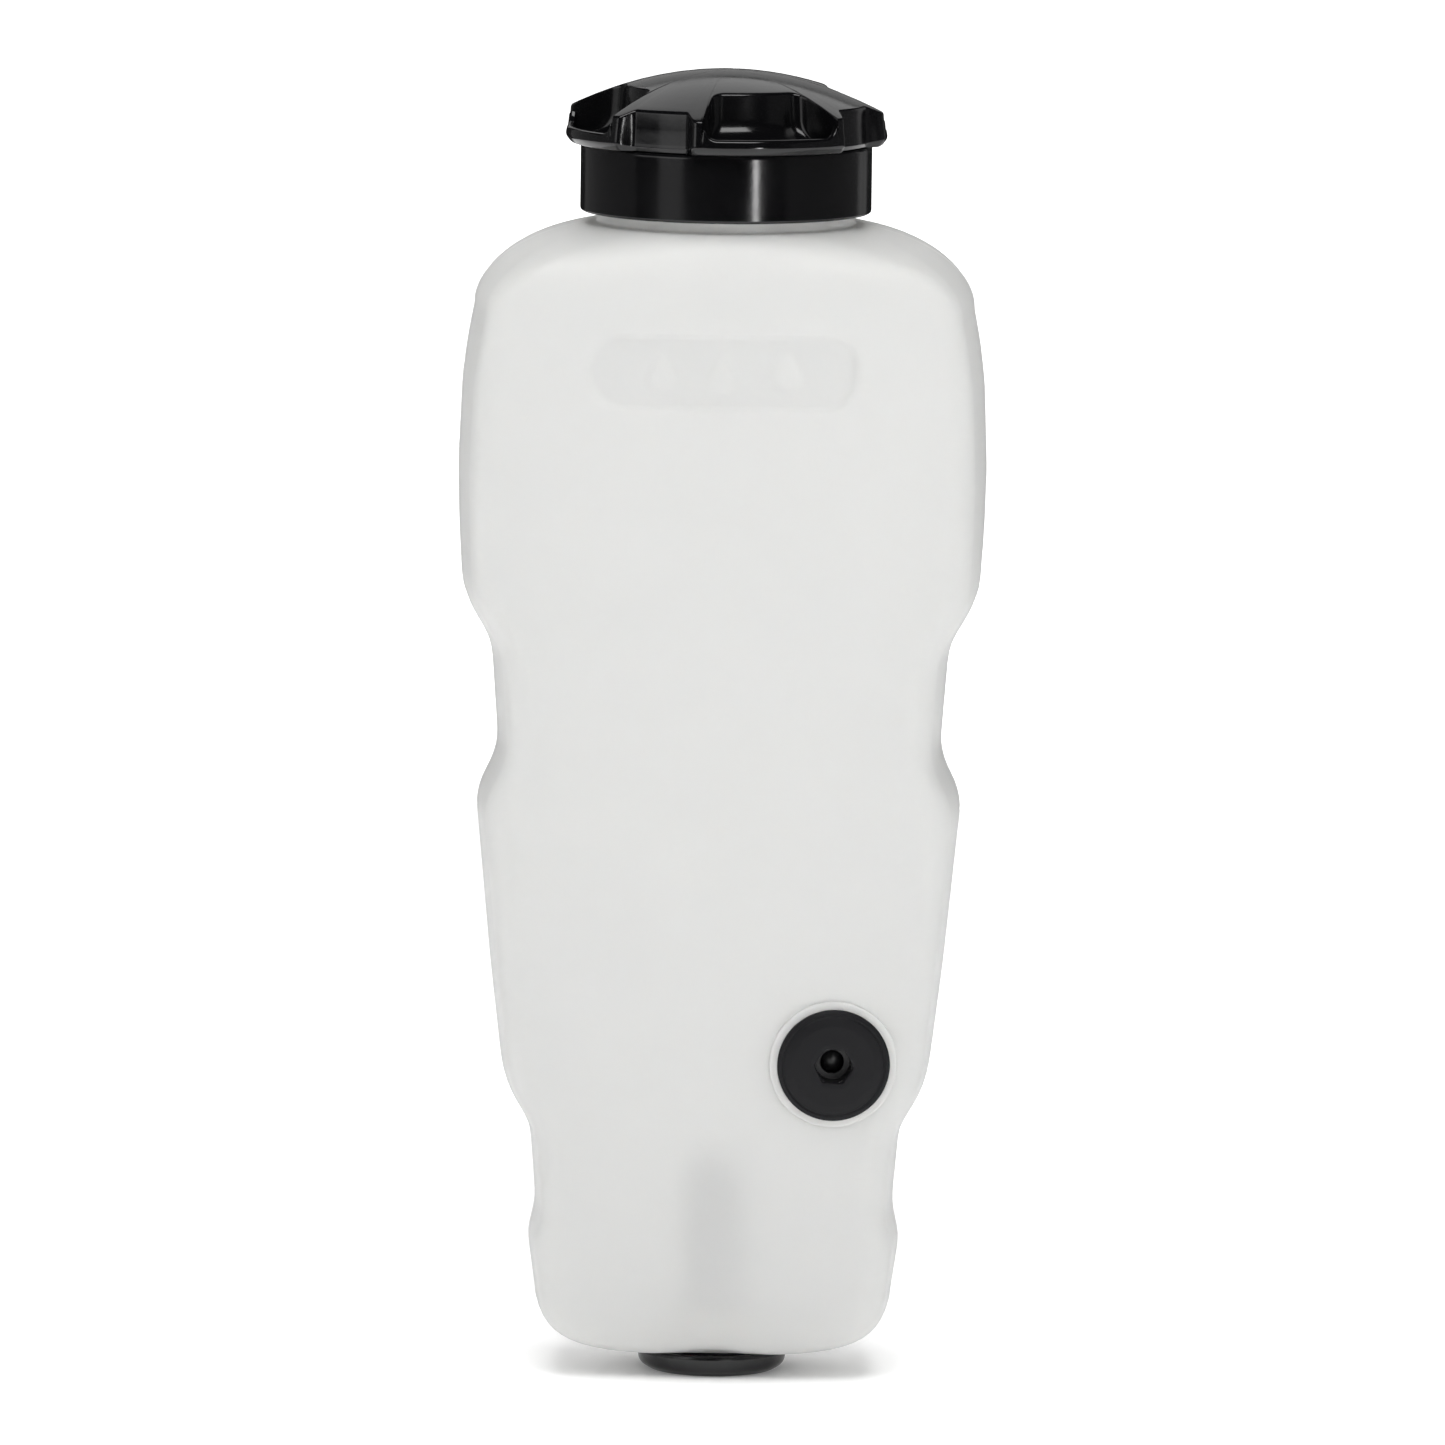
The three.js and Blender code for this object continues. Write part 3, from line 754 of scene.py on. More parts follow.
@dataclass
class BlowMouldedBody:
    """The bottle's wall: bowed faces, clip notches, rolled heel and shoulder, and screw neck, in mm."""

    node: str = "bottle_body"
    wall: float = 1.6
    corner: float = 7.0
    front: float = 320.0
    side: float = 130.0
    heel_z: float = 17.0
    shoulder_z: float = 223.5
    top_z: float = 240.3
    heel_powers: Point = (2.0, 2.0)
    shoulder_powers: Point = (1.9, 2.6)
    heel_end: tuple[float, ...] = (21.0, 14.8, 10.0, 70.0, 40.0)
    shoulder_end: tuple[float, ...] = (27.6, 27.6, 26.0, 40.0, 40.0)
    shoulder_cut: Point = (0.971, 1.0)
    arch_rise: float = 1.1
    arch_half: float = 13.0
    neck: float = 26.8
    bore: float = 24.8
    base_hole: float = 7.2
    seam: float = 0.22
    badge: Badge = field(default_factory=Badge)

    def build(self, frame: dict[str, Any], port: SidePort) -> bpy.types.Object:
        """Makes the body with its port land, and dresses it.

        Args:
            frame: The loaded frame.
            port: The side port, for its land and its hole.

        Returns:
            The body.
        """
        low, high = (corner.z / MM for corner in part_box(self.node))
        self.base_z, self.rim_z = low, high
        heights = np.arange(self.heel_z, self.shoulder_z + 0.5, 1.0)
        sizes = solid_sizes(frame["nodes"][self.node], heights)
        self.heights, self.sizes = heights, self._smoothed(sizes)
        rings, lined = self._path()
        body = skin("bottle_shell", np.array(rings), closed=True, lined=lined)
        port.cut_into(body)
        tidied(body, 50)
        return place(body, "bottle", NATURAL_HDPE, [self.node], lining=[HDPE_INSIDE])

    @staticmethod
    def _smoothed(sizes: np.ndarray, spread: float = 1.6) -> np.ndarray:
        """Rounds the stations' corners off with a bell-shaped average, holding both ends."""
        reach = np.arange(-5, 6)
        weights = np.exp(-((reach / spread) ** 2) / 2)
        padded = np.pad(sizes, ((5, 5), (0, 0)), mode="reflect", reflect_type="odd")
        rows = [np.tensordot(weights, padded[i : i + 11], axes=1) for i in range(len(sizes))]
        return np.array(rows) / weights.sum()

    def _station(self, z: float) -> tuple[float, ...]:
        """Half width, half depth, corner, front and side radius at a height, in mm."""
        wide, deep = (float(np.interp(z, self.heights, self.sizes[:, k])) for k in (0, 1))
        if self.heel_z <= z <= self.shoulder_z:
            return wide, deep, self.corner, self.front, self.side
        at_heel = z < self.heel_z
        start, end_z = (self.heel_z, self.base_z) if at_heel else (self.shoulder_z, self.top_z)
        end = self.heel_end if at_heel else self.shoulder_end
        powers = self.heel_powers if at_heel else self.shoulder_powers
        cuts = (1.0, 1.0) if at_heel else self.shoulder_cut
        rise = min((z - start) / (end_z - start), 1.0)
        inset = [self._rolled(rise * cut, p) / self._rolled(cut, p) for p, cut in zip(powers, cuts)]
        turned = rise**6
        sizes = [size + (last - size) * share for size, last, share in zip((wide, deep), end, inset)]
        corner = self.corner + (end[2] - self.corner) * turned
        ends = ((self.front, end[3]), (self.side, end[4]))
        bows = [1 / ((1 - turned) / bow + turned / last) for bow, last in ends]
        return (*sizes, corner, *bows)

    @staticmethod
    def _rolled(rise: float, power: float) -> float:
        """How far a rolled end has come in at a share of its height, on a superellipse."""
        return 1 - (1 - rise**power) ** (1 / power)

    def _ring(self, z: float, inset: float = 0.0, z_shift: float = 0.0) -> np.ndarray:
        """One ring of the body: front and back arcs, side arcs and the corners that join them.

        Args:
            z: Height of the station, in mm.
            inset: How far inside the outer surface the ring lies, in mm.
            z_shift: How far the ring is moved up afterwards, in mm.

        Returns:
            The ring's points in mm, counter-clockwise from the middle of the front.
        """
        wide, deep, corner, front, side = self._station(z)
        front_y, side_x = front - deep, wide - side
        to_front, to_side = front - corner, side - corner
        apart = math.hypot(side_x, front_y)
        along = (to_front**2 - to_side**2 + apart**2) / (2 * apart)
        off = math.sqrt(max(to_front**2 - along**2, 0))
        ux, uy = side_x / apart, -front_y / apart
        cx, cy = along * ux - off * uy, front_y + along * uy + off * ux
        front_turn = math.atan2(cx, front_y - cy)
        side_turn = math.pi / 2 - math.atan2(-cy, cx - side_x)

        def quarter(front_steps: int) -> list[Point]:
            """A quarter of the ring, from the middle of the front to the parting line."""
            side_steps = np.array([0, 0.2, 0.4, 0.6, 0.78, 0.9, 0.97])
            arcs = [
                (0.0, front_y, front - inset, 0.0, front_turn, np.arange(front_steps) / front_steps),
                (cx, cy, corner - inset, front_turn, side_turn, np.arange(9) / 9),
                (side_x, 0.0, side - inset, side_turn, math.pi / 2, side_steps),
            ]
            return [
                (x + radius * math.sin(a + (b - a) * t), y - radius * math.cos(a + (b - a) * t))
                for x, y, radius, a, b, shares in arcs
                for t in shares
            ]

        fine, plain = quarter(60), quarter(14)
        seam = self.seam if inset == 0 else 0.0
        tip = (wide - inset + seam, 0.0)
        right_back = [(x, -y) for x, y in reversed(plain)]
        left_back = [(-x, -y) for x, y in plain[1:]]
        left_front = [(-x, y) for x, y in reversed(fine[1:])]
        outline = [*fine, tip, *right_back, *left_back, (-tip[0], 0.0), *left_front]
        return np.array([(x, y, z + z_shift) for x, y in outline])

    def _circle(self, like: np.ndarray, radius: float, z: float, threaded: bool = False) -> np.ndarray:
        """A round ring whose points lie in the same directions as another ring's."""
        angles = np.arctan2(like[:, 1], like[:, 0])
        radii = np.full(len(angles), radius)
        if threaded:
            radii = radii + [THREAD.rise(a, z) for a in angles % (2 * math.pi)]
        return np.stack([radii * np.cos(angles), radii * np.sin(angles), np.full(len(angles), z)], axis=1)

    def _levels(self) -> list[float]:
        """Heights of the outer rings, close together where the surface has detail."""
        sole = self.heel_z - self.base_z
        heel = [self.heel_z - sole * math.sin(t) for t in np.linspace(math.pi / 2, 0.12, 12)]
        roll = self.top_z - self.shoulder_z
        shoulder = [self.shoulder_z + roll * math.sin(t) for t in np.linspace(0.06, math.pi / 2, 22)]
        middle = []
        z = self.heel_z
        while z < self.shoulder_z:
            middle.append(z)
            in_badge = abs(z - self.badge.z) < self.badge.half_height + 1
            z += 0.55 if in_badge else 1.7
        return [*heel, *middle, *shoulder]

    def _path(self) -> tuple[list[np.ndarray], range]:
        """Every ring in order: base, outside, neck, bore, inside and back to the base hole.

        Returns:
            The rings, and the rows that line the inside.
        """
        levels = self._levels()
        outside = [self._ring(z) for z in levels]
        for ring in outside:
            self._sink_badge(ring)
        foot, crown = outside[0], outside[-1]
        hole = self._circle(foot, self.base_hole, self.base_z)
        base = [hole + (foot - hole) * t for t in (0, 0.04, 0.25, 0.5, 0.65, 0.8, 0.9, 0.96)]
        for ring in (*base, *outside):
            self._lift_arch(ring)

        rim, under = self.rim_z, self.top_z - self.wall
        neck_profile = rounded([
            Corner(27.4, self.top_z + 0.02), Corner(self.neck, self.top_z + 0.15, 0.6),
            Corner(self.neck, rim, 0.5), Corner(self.bore, rim, 0.5),
            Corner(self.bore, under - 0.6, 0.6), Corner(self.bore + 1.6, under - 0.9),
        ])
        neck_profile = divided(neck_profile, self.top_z, rim, 0.3)
        neck = [self._circle(crown, r, z, threaded=r >= self.neck - 0.01) for r, z in neck_profile[:-1]]

        # Between heel and shoulder every other station is enough inside.
        ends = {z for z in levels if not self.heel_z <= z <= self.shoulder_z}
        inner_levels = [z for i, z in enumerate(levels) if i % 2 == 0 or z in ends]
        inside = [self._ring(z, self.wall, self._cavity_shift(z)) for z in reversed(inner_levels)]
        inside = [ring for ring in inside if ring[:, 0].max() > self.bore + 1.2 or ring[0, 2] < 200]
        floor = inside[-1]
        inner_hole = self._circle(floor, self.base_hole, floor[0, 2])
        bottom = [floor + (inner_hole - floor) * t for t in (0.1, 0.4, 0.7, 0.95, 1)]
        first = len(base) + len(outside) + len(neck)
        return [*base, *outside, *neck, *inside, *bottom], range(first, first + len(inside) + len(bottom) - 1)

    def _cavity_shift(self, z: float) -> float:
        """How far the cavity is lifted off the base or lowered from the shoulder, in mm."""
        lift = 1 - np.clip((z - self.heel_z + 5) / 15, 0, 1)
        drop = np.clip((z - self.shoulder_z) / 10, 0, 1)
        return self.wall * float(lift - drop)

    def _lift_arch(self, ring: np.ndarray) -> None:
        """Lifts the base's front edge into a shallow arch over the foot."""
        for point in ring:
            front = float(np.clip((-point[1] - 13.5) / 1.5, 0, 1))
            low = float(np.clip((self.base_z + 5 - point[2]) / 5, 0, 1))
            across = math.cos(min(abs(point[0]) / self.arch_half, 1) * math.pi) / 2 + 0.5
            point[2] += self.arch_rise * front * low * across

    def _sink_badge(self, ring: np.ndarray) -> None:
        """Sinks the badge's panel into a ring's front points."""
        z = ring[0, 2]
        if abs(z - self.badge.z) > self.badge.half_height + 1:
            return
        for point in ring:
            if point[1] < 0 and abs(point[0]) < self.badge.half_length + 1:
                point[1] += self.badge.depth_at(point[0], z)


# ---------------------------------------------------------------- cap
@dataclass
class ScrewCap:
    """Threaded closure, grip cover with four finger pockets, liner and vent, in mm."""

    outer: float = 30.2
    inner: float = 28.6
    bottom: float = 242.6
    panel: float = 255.1
    top: float = 256.7
    dome_drop: float = 0.0075
    rim: float = 33.4
    hollow: float = 20.1
    roof: float = 1.8
    pocket_back: float = 21.5
    back_draft: float = 0.6
    back_corner: float = 3.0
    floor_corner: float = 7.0
    pocket_floor: float = 258.4
    lip_top: float = 260.2
    lip_corner: float = 2.8
    pockets: int = 4
    pocket_azimuth: float = 17.6
    cup_edge: float = 25.7
    wall_from: float = 26.6
    wall_to: float = 28.9
    block_from: float = 34.0
    draft: float = 0.35

    def build(self, frame: dict[str, Any]) -> None:
        """Makes and dresses the cap's pieces.

        Args:
            frame: The loaded frame.
        """
        self.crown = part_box("cap_grip_cover")[1].z / MM
        place(self._closure(), "cap", GLOSS_PP, ["cap_closure"])
        place(self._cover(), "cap", GLOSS_PP, ["cap_grip_cover"])
        low, high = (corner.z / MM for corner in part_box("cap_gasket"))
        liner = rounded([
            Corner(24.9, (low + high) / 2), Corner(24.9, low, 0.3), Corner(28.2, low, 0.3),
            Corner(28.2, high, 0.3), Corner(24.9, high, 0.3), Corner(24.9, (low + high) / 2),
        ])[:-1]
        place(revolved("liner_ring", liner, 120), "cap_liner", PE_FOAM, ["cap_gasket"])
        low, high = (corner.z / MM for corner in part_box("vent_disc"))
        flap = rounded([Corner(0, low), Corner(4.6, low, 0.3), Corner(4.6, high, 0.3), Corner(0, high)])
        place(revolved("vent_flap", flap, 64), "vent_check", SILICONE, ["vent_disc"])
        cage = frame["nodes"]["vent_retainer"]
        cage.data.materials.clear()
        cage.data.materials.append(NYLON.material())
        log.info("%-18s keeps its frame shape, %s", cage.name, NYLON.name)

    def _closure(self) -> bpy.types.Object:
        """The threaded skirt and panel with the vent's tube and the cover's locating ring."""
        hole, seat, seat_z, tube, tube_outer, tube_z = 2.0, 3.1, 254.4, 5.6, 7.0, 251.0
        ring = self.hollow - 0.3
        outline = rounded([
            Corner(hole, self.top - 1), Corner(hole, seat_z, 0.2), Corner(seat, seat_z, 0.2),
            Corner(seat, self.panel, 0.2), Corner(tube, self.panel, 0.3), Corner(tube, tube_z, 0.3),
            Corner(tube_outer, tube_z, 0.3), Corner(tube_outer, self.panel, 0.5),
            Corner(self.inner, self.panel, 0.5), Corner(self.inner, self.bottom, 0.3),
            Corner(self.outer, self.bottom, 0.6), Corner(self.outer, self.top, 0.75),
            Corner(ring, self.top, 0.2), Corner(ring, self.top + 2.6, 0.3),
            Corner(ring - 1.4, self.top + 2.6, 0.3), Corner(ring - 1.4, self.top, 0.4),
            Corner(hole, self.top, 0.3), Corner(hole, self.top - 1),
        ])[:-1]
        outline = divided(outline, self.bottom, self.panel - 1.2, 0.3)

        def thread(angle: float, r: float, z: float) -> float:
            """The cap's ridges, half way between the neck's."""
            if abs(r - self.inner) > 0.05:
                return 0.0
            return -0.9 * THREAD.rise(angle, z, 0.175, -THREAD.lead / 4)

        return revolved("cap_skirt", outline, 144, thread)

    def _dome(self, r: float, drop: float = 0.0) -> float:
        """Height of the domed top at a radius, in mm."""
        return self.crown - drop - self.dome_drop * r**2

    def _profile(self, edge: float, face: Sequence[Corner]) -> np.ndarray:
        """One radial profile of the cover, from the crown out, round the rim and back inside.

        Args:
            edge: Radius at which the dome ends, in mm.
            face: The five corners between the dome's edge and the rim's underside.

        Returns:
            The profile's points, as many for any edge and face.
        """
        shares = (0, 0.12, 0.25, 0.38, 0.5, 0.62, 0.74, 0.85, 0.94)
        dome = [Corner(edge * s, self._dome(edge * s)) for s in shares]
        base = self.top + 0.1
        under = [Corner(face[-1].r - 1.6, base), Corner(self.hollow, base, 0.3)]
        ceiling = [Corner(r, self._dome(r, self.roof)) for r in (15.0, 10.0, 5.0, 0.0)]
        inner = [Corner(self.hollow, self._dome(self.hollow, self.roof), 0.6), *ceiling]
        corners = [*dome, Corner(edge, self._dome(edge), 1.0), *face, *under, *inner]
        return np.array(rounded(corners, 6))

    def _rim(self, base: float) -> list[Corner]:
        """The rim's outer face from its middle down, rolled under to the seam."""
        return [Corner(self.rim, base + 1.5, 1.3), Corner(self.rim - 1.1, base, 0.9)]

    def _cup(self, away: float) -> np.ndarray:
        """The profile through a pocket, whose lip curves up near the pocket's ends.

        Args:
            away: Degrees from the pocket's middle.

        Returns:
            The profile's points.
        """
        along = math.radians(away - self.cup_edge) * self.rim + self.lip_corner
        along = float(np.clip(along, 0, self.lip_corner * 0.98))
        lip = self.lip_top + self.lip_corner - math.sqrt(self.lip_corner**2 - along**2)
        floor, back = self.pocket_floor, self._back(away)
        return self._profile(back - self.back_draft, [
            Corner(back, floor, self.floor_corner), Corner(self.rim - 1.6, floor, 0.8),
            Corner(self.rim - 1.7, lip, 0.45), Corner(self.rim - 0.4, lip, 0.8),
            *self._rim(self.top + 0.1),
        ])

    def _back(self, away: float) -> float:
        """Radius of a pocket's back wall, with a rounded corner where its side wall begins.

        Args:
            away: Degrees from the pocket's middle.

        Returns:
            The radius in that direction, in mm.
        """
        middle = self.pocket_back + self.back_corner
        past = math.radians(min(away, self.cup_edge) - self.cup_edge) + math.asin(self.back_corner / middle)
        if past < 0:
            return self.pocket_back
        off = middle * math.sin(past)
        return middle * math.cos(past) - math.sqrt(max(self.back_corner**2 - off**2, 0))

    def _cover(self) -> bpy.types.Object:
        """The snap-on cover: cup, side-wall and block profiles merged round the axis."""
        base = self.top + 0.1
        wall_edge = self.rim - 0.6
        wall = self._profile(wall_edge, [
            Corner(wall_edge + 0.08, 262.6, 0.1), Corner(wall_edge + 0.18, 261.8, 0.1),
            Corner(wall_edge + 0.28, 261.0, 0.1), Corner(wall_edge + 0.4, 260.1, 0.1),
            *self._rim(base),
        ])
        block_edge = self.outer - self.draft
        face = [
            Corner(block_edge + self.draft * share, self.top + 6 - 6 * share, 0.1)
            for share in (0.2, 0.4, 0.55, 0.7)
        ]
        foot = [Corner(self.outer, base + 1.0, 0.5), Corner(self.outer - 0.5, base, 0.35)]
        block = self._profile(block_edge, [*face, *foot])
        rings = []
        for degrees in self._columns():
            away = abs(degrees)
            to_wall = self._ease(away, self.cup_edge, self.wall_from)
            to_block = self._ease(away, self.wall_to, self.block_from)
            cup = self._cup(away)
            profile = cup + (wall - cup) * to_wall
            rings.append((degrees, profile + (block - profile) * to_block))
        columns = []
        for pocket in range(self.pockets):
            for degrees, profile in rings:
                angle = math.radians(self.pocket_azimuth - 90 + degrees + pocket * 360 / self.pockets)
                x, y = profile[:, 0] * math.cos(angle), profile[:, 0] * math.sin(angle)
                columns.append(np.stack([x, y, profile[:, 1]], axis=1))
        return skin("cap_dome", np.array(columns).transpose(1, 0, 2), closed=False)

    def _columns(self) -> list[float]:
        """Directions from a pocket's middle, close together where the profile changes, in degrees."""
        spans = [
            np.linspace(0, self.cup_edge - 6, 12),
            np.linspace(self.cup_edge - 6, self.cup_edge, 13),
            np.linspace(self.cup_edge, self.wall_from, 8),
            np.linspace(self.wall_from, self.wall_to, 4),
            np.linspace(self.wall_to, self.block_from, 11),
            np.linspace(self.block_from, 45, 6),
        ]
        right = sorted({round(float(d), 4) for span in spans for d in span})
        left = [-d for d in reversed(right) if 0 < d < 45]
        return [*left, *right]

    @staticmethod
    def _ease(value: float, low: float, high: float) -> float:
        """Smooth step from low to high."""
        t = float(np.clip((value - low) / (high - low), 0, 1))
        return t * t * (3 - 2 * t)


# ---------------------------------------------------------------- foot valve
@dataclass
class FootValve:
    """Rubber boot, flanged tube, seals, nut, plunger, spring and plug, in mm."""

    boot: float = 15.6
    flange: float = 13.4
    socket: float = 5.0
    tube: float = 6.25
    chamber: float = 4.9
    tube_top: float = 40.0

    def build(self, frame: dict[str, Any]) -> None:
        """Makes and dresses the foot valve's pieces.

        Args:
            frame: The loaded frame.
        """
        # The boot's rubber is darker than the grommet's: painted shade.
        place(self._boot(), "bottle", SHADED_FOOT_EPDM, ["foot_boot"])
        place(self._tube(), "bottle", SATIN_PP, ["foot_valve_body"])
        place(self._flat_ring("foot_seal", "foot_gasket", 6.4, 13.2), "bottle", EPDM, ["foot_gasket"])
        place(self._flat_ring("nut_washer", "foot_washer", 6.5, 10.5), "bottle", NYLON, ["foot_washer"])
        place(self._nut(), "bottle", NYLON, ["foot_lock_nut"])
        place(self._plunger(), "plunger", NYLON, ["foot_plunger"])
        place(o_ring("plunger_seal", 3.6, 0.75, 10.25), "plunger", EPDM, ["foot_plunger_seal"])
        low, high, travel = 12.5, 35.9, 3.5
        coil = Coil(3.3, 0.4, low, high, 8).build("plunger_coil")
        place(coil, "bottle", STEEL_WIRE, ["foot_spring"])
        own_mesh(coil)
        place(self._plug(), "bottle", SATIN_PP, ["foot_spring_cap"])

    def _boot(self) -> bpy.types.Object:
        """The boot that the bottle stands on, with a rolled lower edge and a sealing bead."""
        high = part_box("foot_boot")[1].z / MM
        mouth, floor = 6.0, 1.7
        outline = rounded([
            Corner(mouth, 0.9), Corner(mouth, 0.15, 0.3), Corner(7.6, 0, 0.4),
            Corner(self.boot - 2.7, 0, 1.2), Corner(self.boot - 0.5, 1.3, 2.2),
            Corner(self.boot, high - 0.9, 0.6),
            Corner(self.boot - 0.2, high, 0.45), Corner(self.flange + 0.2, high, 0.3),
            Corner(self.flange + 0.2, floor, 0.2), Corner(mouth, floor, 0.2), Corner(mouth, 0.9),
        ])[:-1]
        return revolved("foot_boot_shell", outline, 120)

    def _tube(self) -> bpy.types.Object:
        """The flange and tube, with windows that let the liquid in."""
        seat, seat_z, chamber_z = 2.6, 8.0, 9.4
        outline = rounded([
            Corner(self.socket, 5), Corner(self.socket, 1.8, 0.5), Corner(self.flange, 1.8, 0.3),
            Corner(self.flange, 3.8, 0.3), Corner(self.tube, 3.8, 0.5), Corner(self.tube, self.tube_top, 0.3),
            Corner(self.chamber, self.tube_top, 0.2), Corner(self.chamber, chamber_z, 0.3),
            Corner(seat, chamber_z, 0.3), Corner(seat, seat_z, 0.3), Corner(self.socket, seat_z, 0.3),
            Corner(self.socket, 5),
        ])[:-1]
        tube = revolved("valve_tube", outline, 96)
        for turn in range(2):
            window = bpy.data.meshes.new("window")
            work = bmesh.new()
            bmesh.ops.create_cube(work, size=1)
            bmesh.ops.scale(work, vec=(20 * MM, 3 * MM, 7 * MM), verts=work.verts)
            upright = [e for e in work.edges if abs(e.verts[0].co.x - e.verts[1].co.x) > MM]
            bmesh.ops.bevel(work, geom=upright, offset=1.2 * MM, segments=5, affect="EDGES")
            work.to_mesh(window)
            work.free()
            window.transform(Matrix.Rotation(turn * math.pi / 2, 4, "Z"))
            window.transform(Matrix.Translation((0, 0, 17.5 * MM)))
            tool = bpy.data.objects.new("window", window)
            bpy.context.scene.collection.objects.link(tool)
            cut(tube, tool)
        return tidied(tube)

    @staticmethod
    def _flat_ring(name: str, node: str, inner: float, outer: float) -> bpy.types.Object:
        """A washer with eased edges, as thick as its frame node."""
        low, high = (corner.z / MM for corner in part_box(node))
        middle = (low + high) / 2
        outline = rounded([
            Corner(inner, middle), Corner(inner, low, 0.2), Corner(outer, low, 0.2),
            Corner(outer, high, 0.2), Corner(inner, high, 0.2), Corner(inner, middle),
        ])[:-1]
        return revolved(name, outline, 96)

    def _nut(self) -> bpy.types.Object:
        """The hexagon nut, with its corners turned off at both ends."""
        low, high = (corner.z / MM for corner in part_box("foot_lock_nut"))
        bore, corners, flats = 6.4, 10.4, 9.0
        outline = rounded([
            Corner(bore, (low + high) / 2), Corner(bore, low, 0.3), Corner(flats - 0.3, low, 0.1),
            Corner(corners, low + 0.9, 0.1), Corner(corners, high - 0.9, 0.1), Corner(flats - 0.3, high, 0.1),
            Corner(bore, high, 0.3), Corner(bore, (low + high) / 2),
        ])[:-1]

        def hexagon(angle: float, r: float, z: float) -> float:
            """Brings points outside the flats in to the nearest flat."""
            flat = flats / math.cos(angle % (math.pi / 3) - math.pi / 6)
            return min(flat - r, 0) if r > flats - 1 else 0.0

        return revolved("foot_nut", outline, 144, hexagon)

    @staticmethod
    def _plunger() -> bpy.types.Object:
        """The plunger, from its tip in the socket to the end of its guide stem."""
        outline = rounded([
            Corner(0, 5), Corner(1.3, 5, 0.5), Corner(1.3, 9.6, 0.2), Corner(2.7, 9.6, 0.1),
            Corner(2.7, 11.1, 0.1), Corner(4.4, 11.1, 0.2), Corner(4.4, 12.4, 0.2),
            Corner(1.6, 12.4, 0.3), Corner(1.6, 38, 0.5), Corner(0, 38),
        ])
        return revolved("plunger_pin", outline, 64)

    def _plug(self) -> bpy.types.Object:
        """The plug that closes the tube and holds the spring down."""
        low, high = (corner.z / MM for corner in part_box("foot_spring_cap"))
        fit = self.chamber - 0.1
        outline = rounded([
            Corner(1.8, low + 2), Corner(1.8, low, 0.3), Corner(fit, low, 0.3),
            Corner(fit, self.tube_top + 0.1, 0.1), Corner(self.tube, self.tube_top + 0.1, 0.2),
            Corner(self.tube, high - 0.9, 0.6), Corner(self.tube - 1, high, 0.8), Corner(0, high),
        ])
        bore = [(0.0, high - 1.4), (1.8, high - 1.4)]
        return revolved("tube_plug", [*bore, *outline], 64)


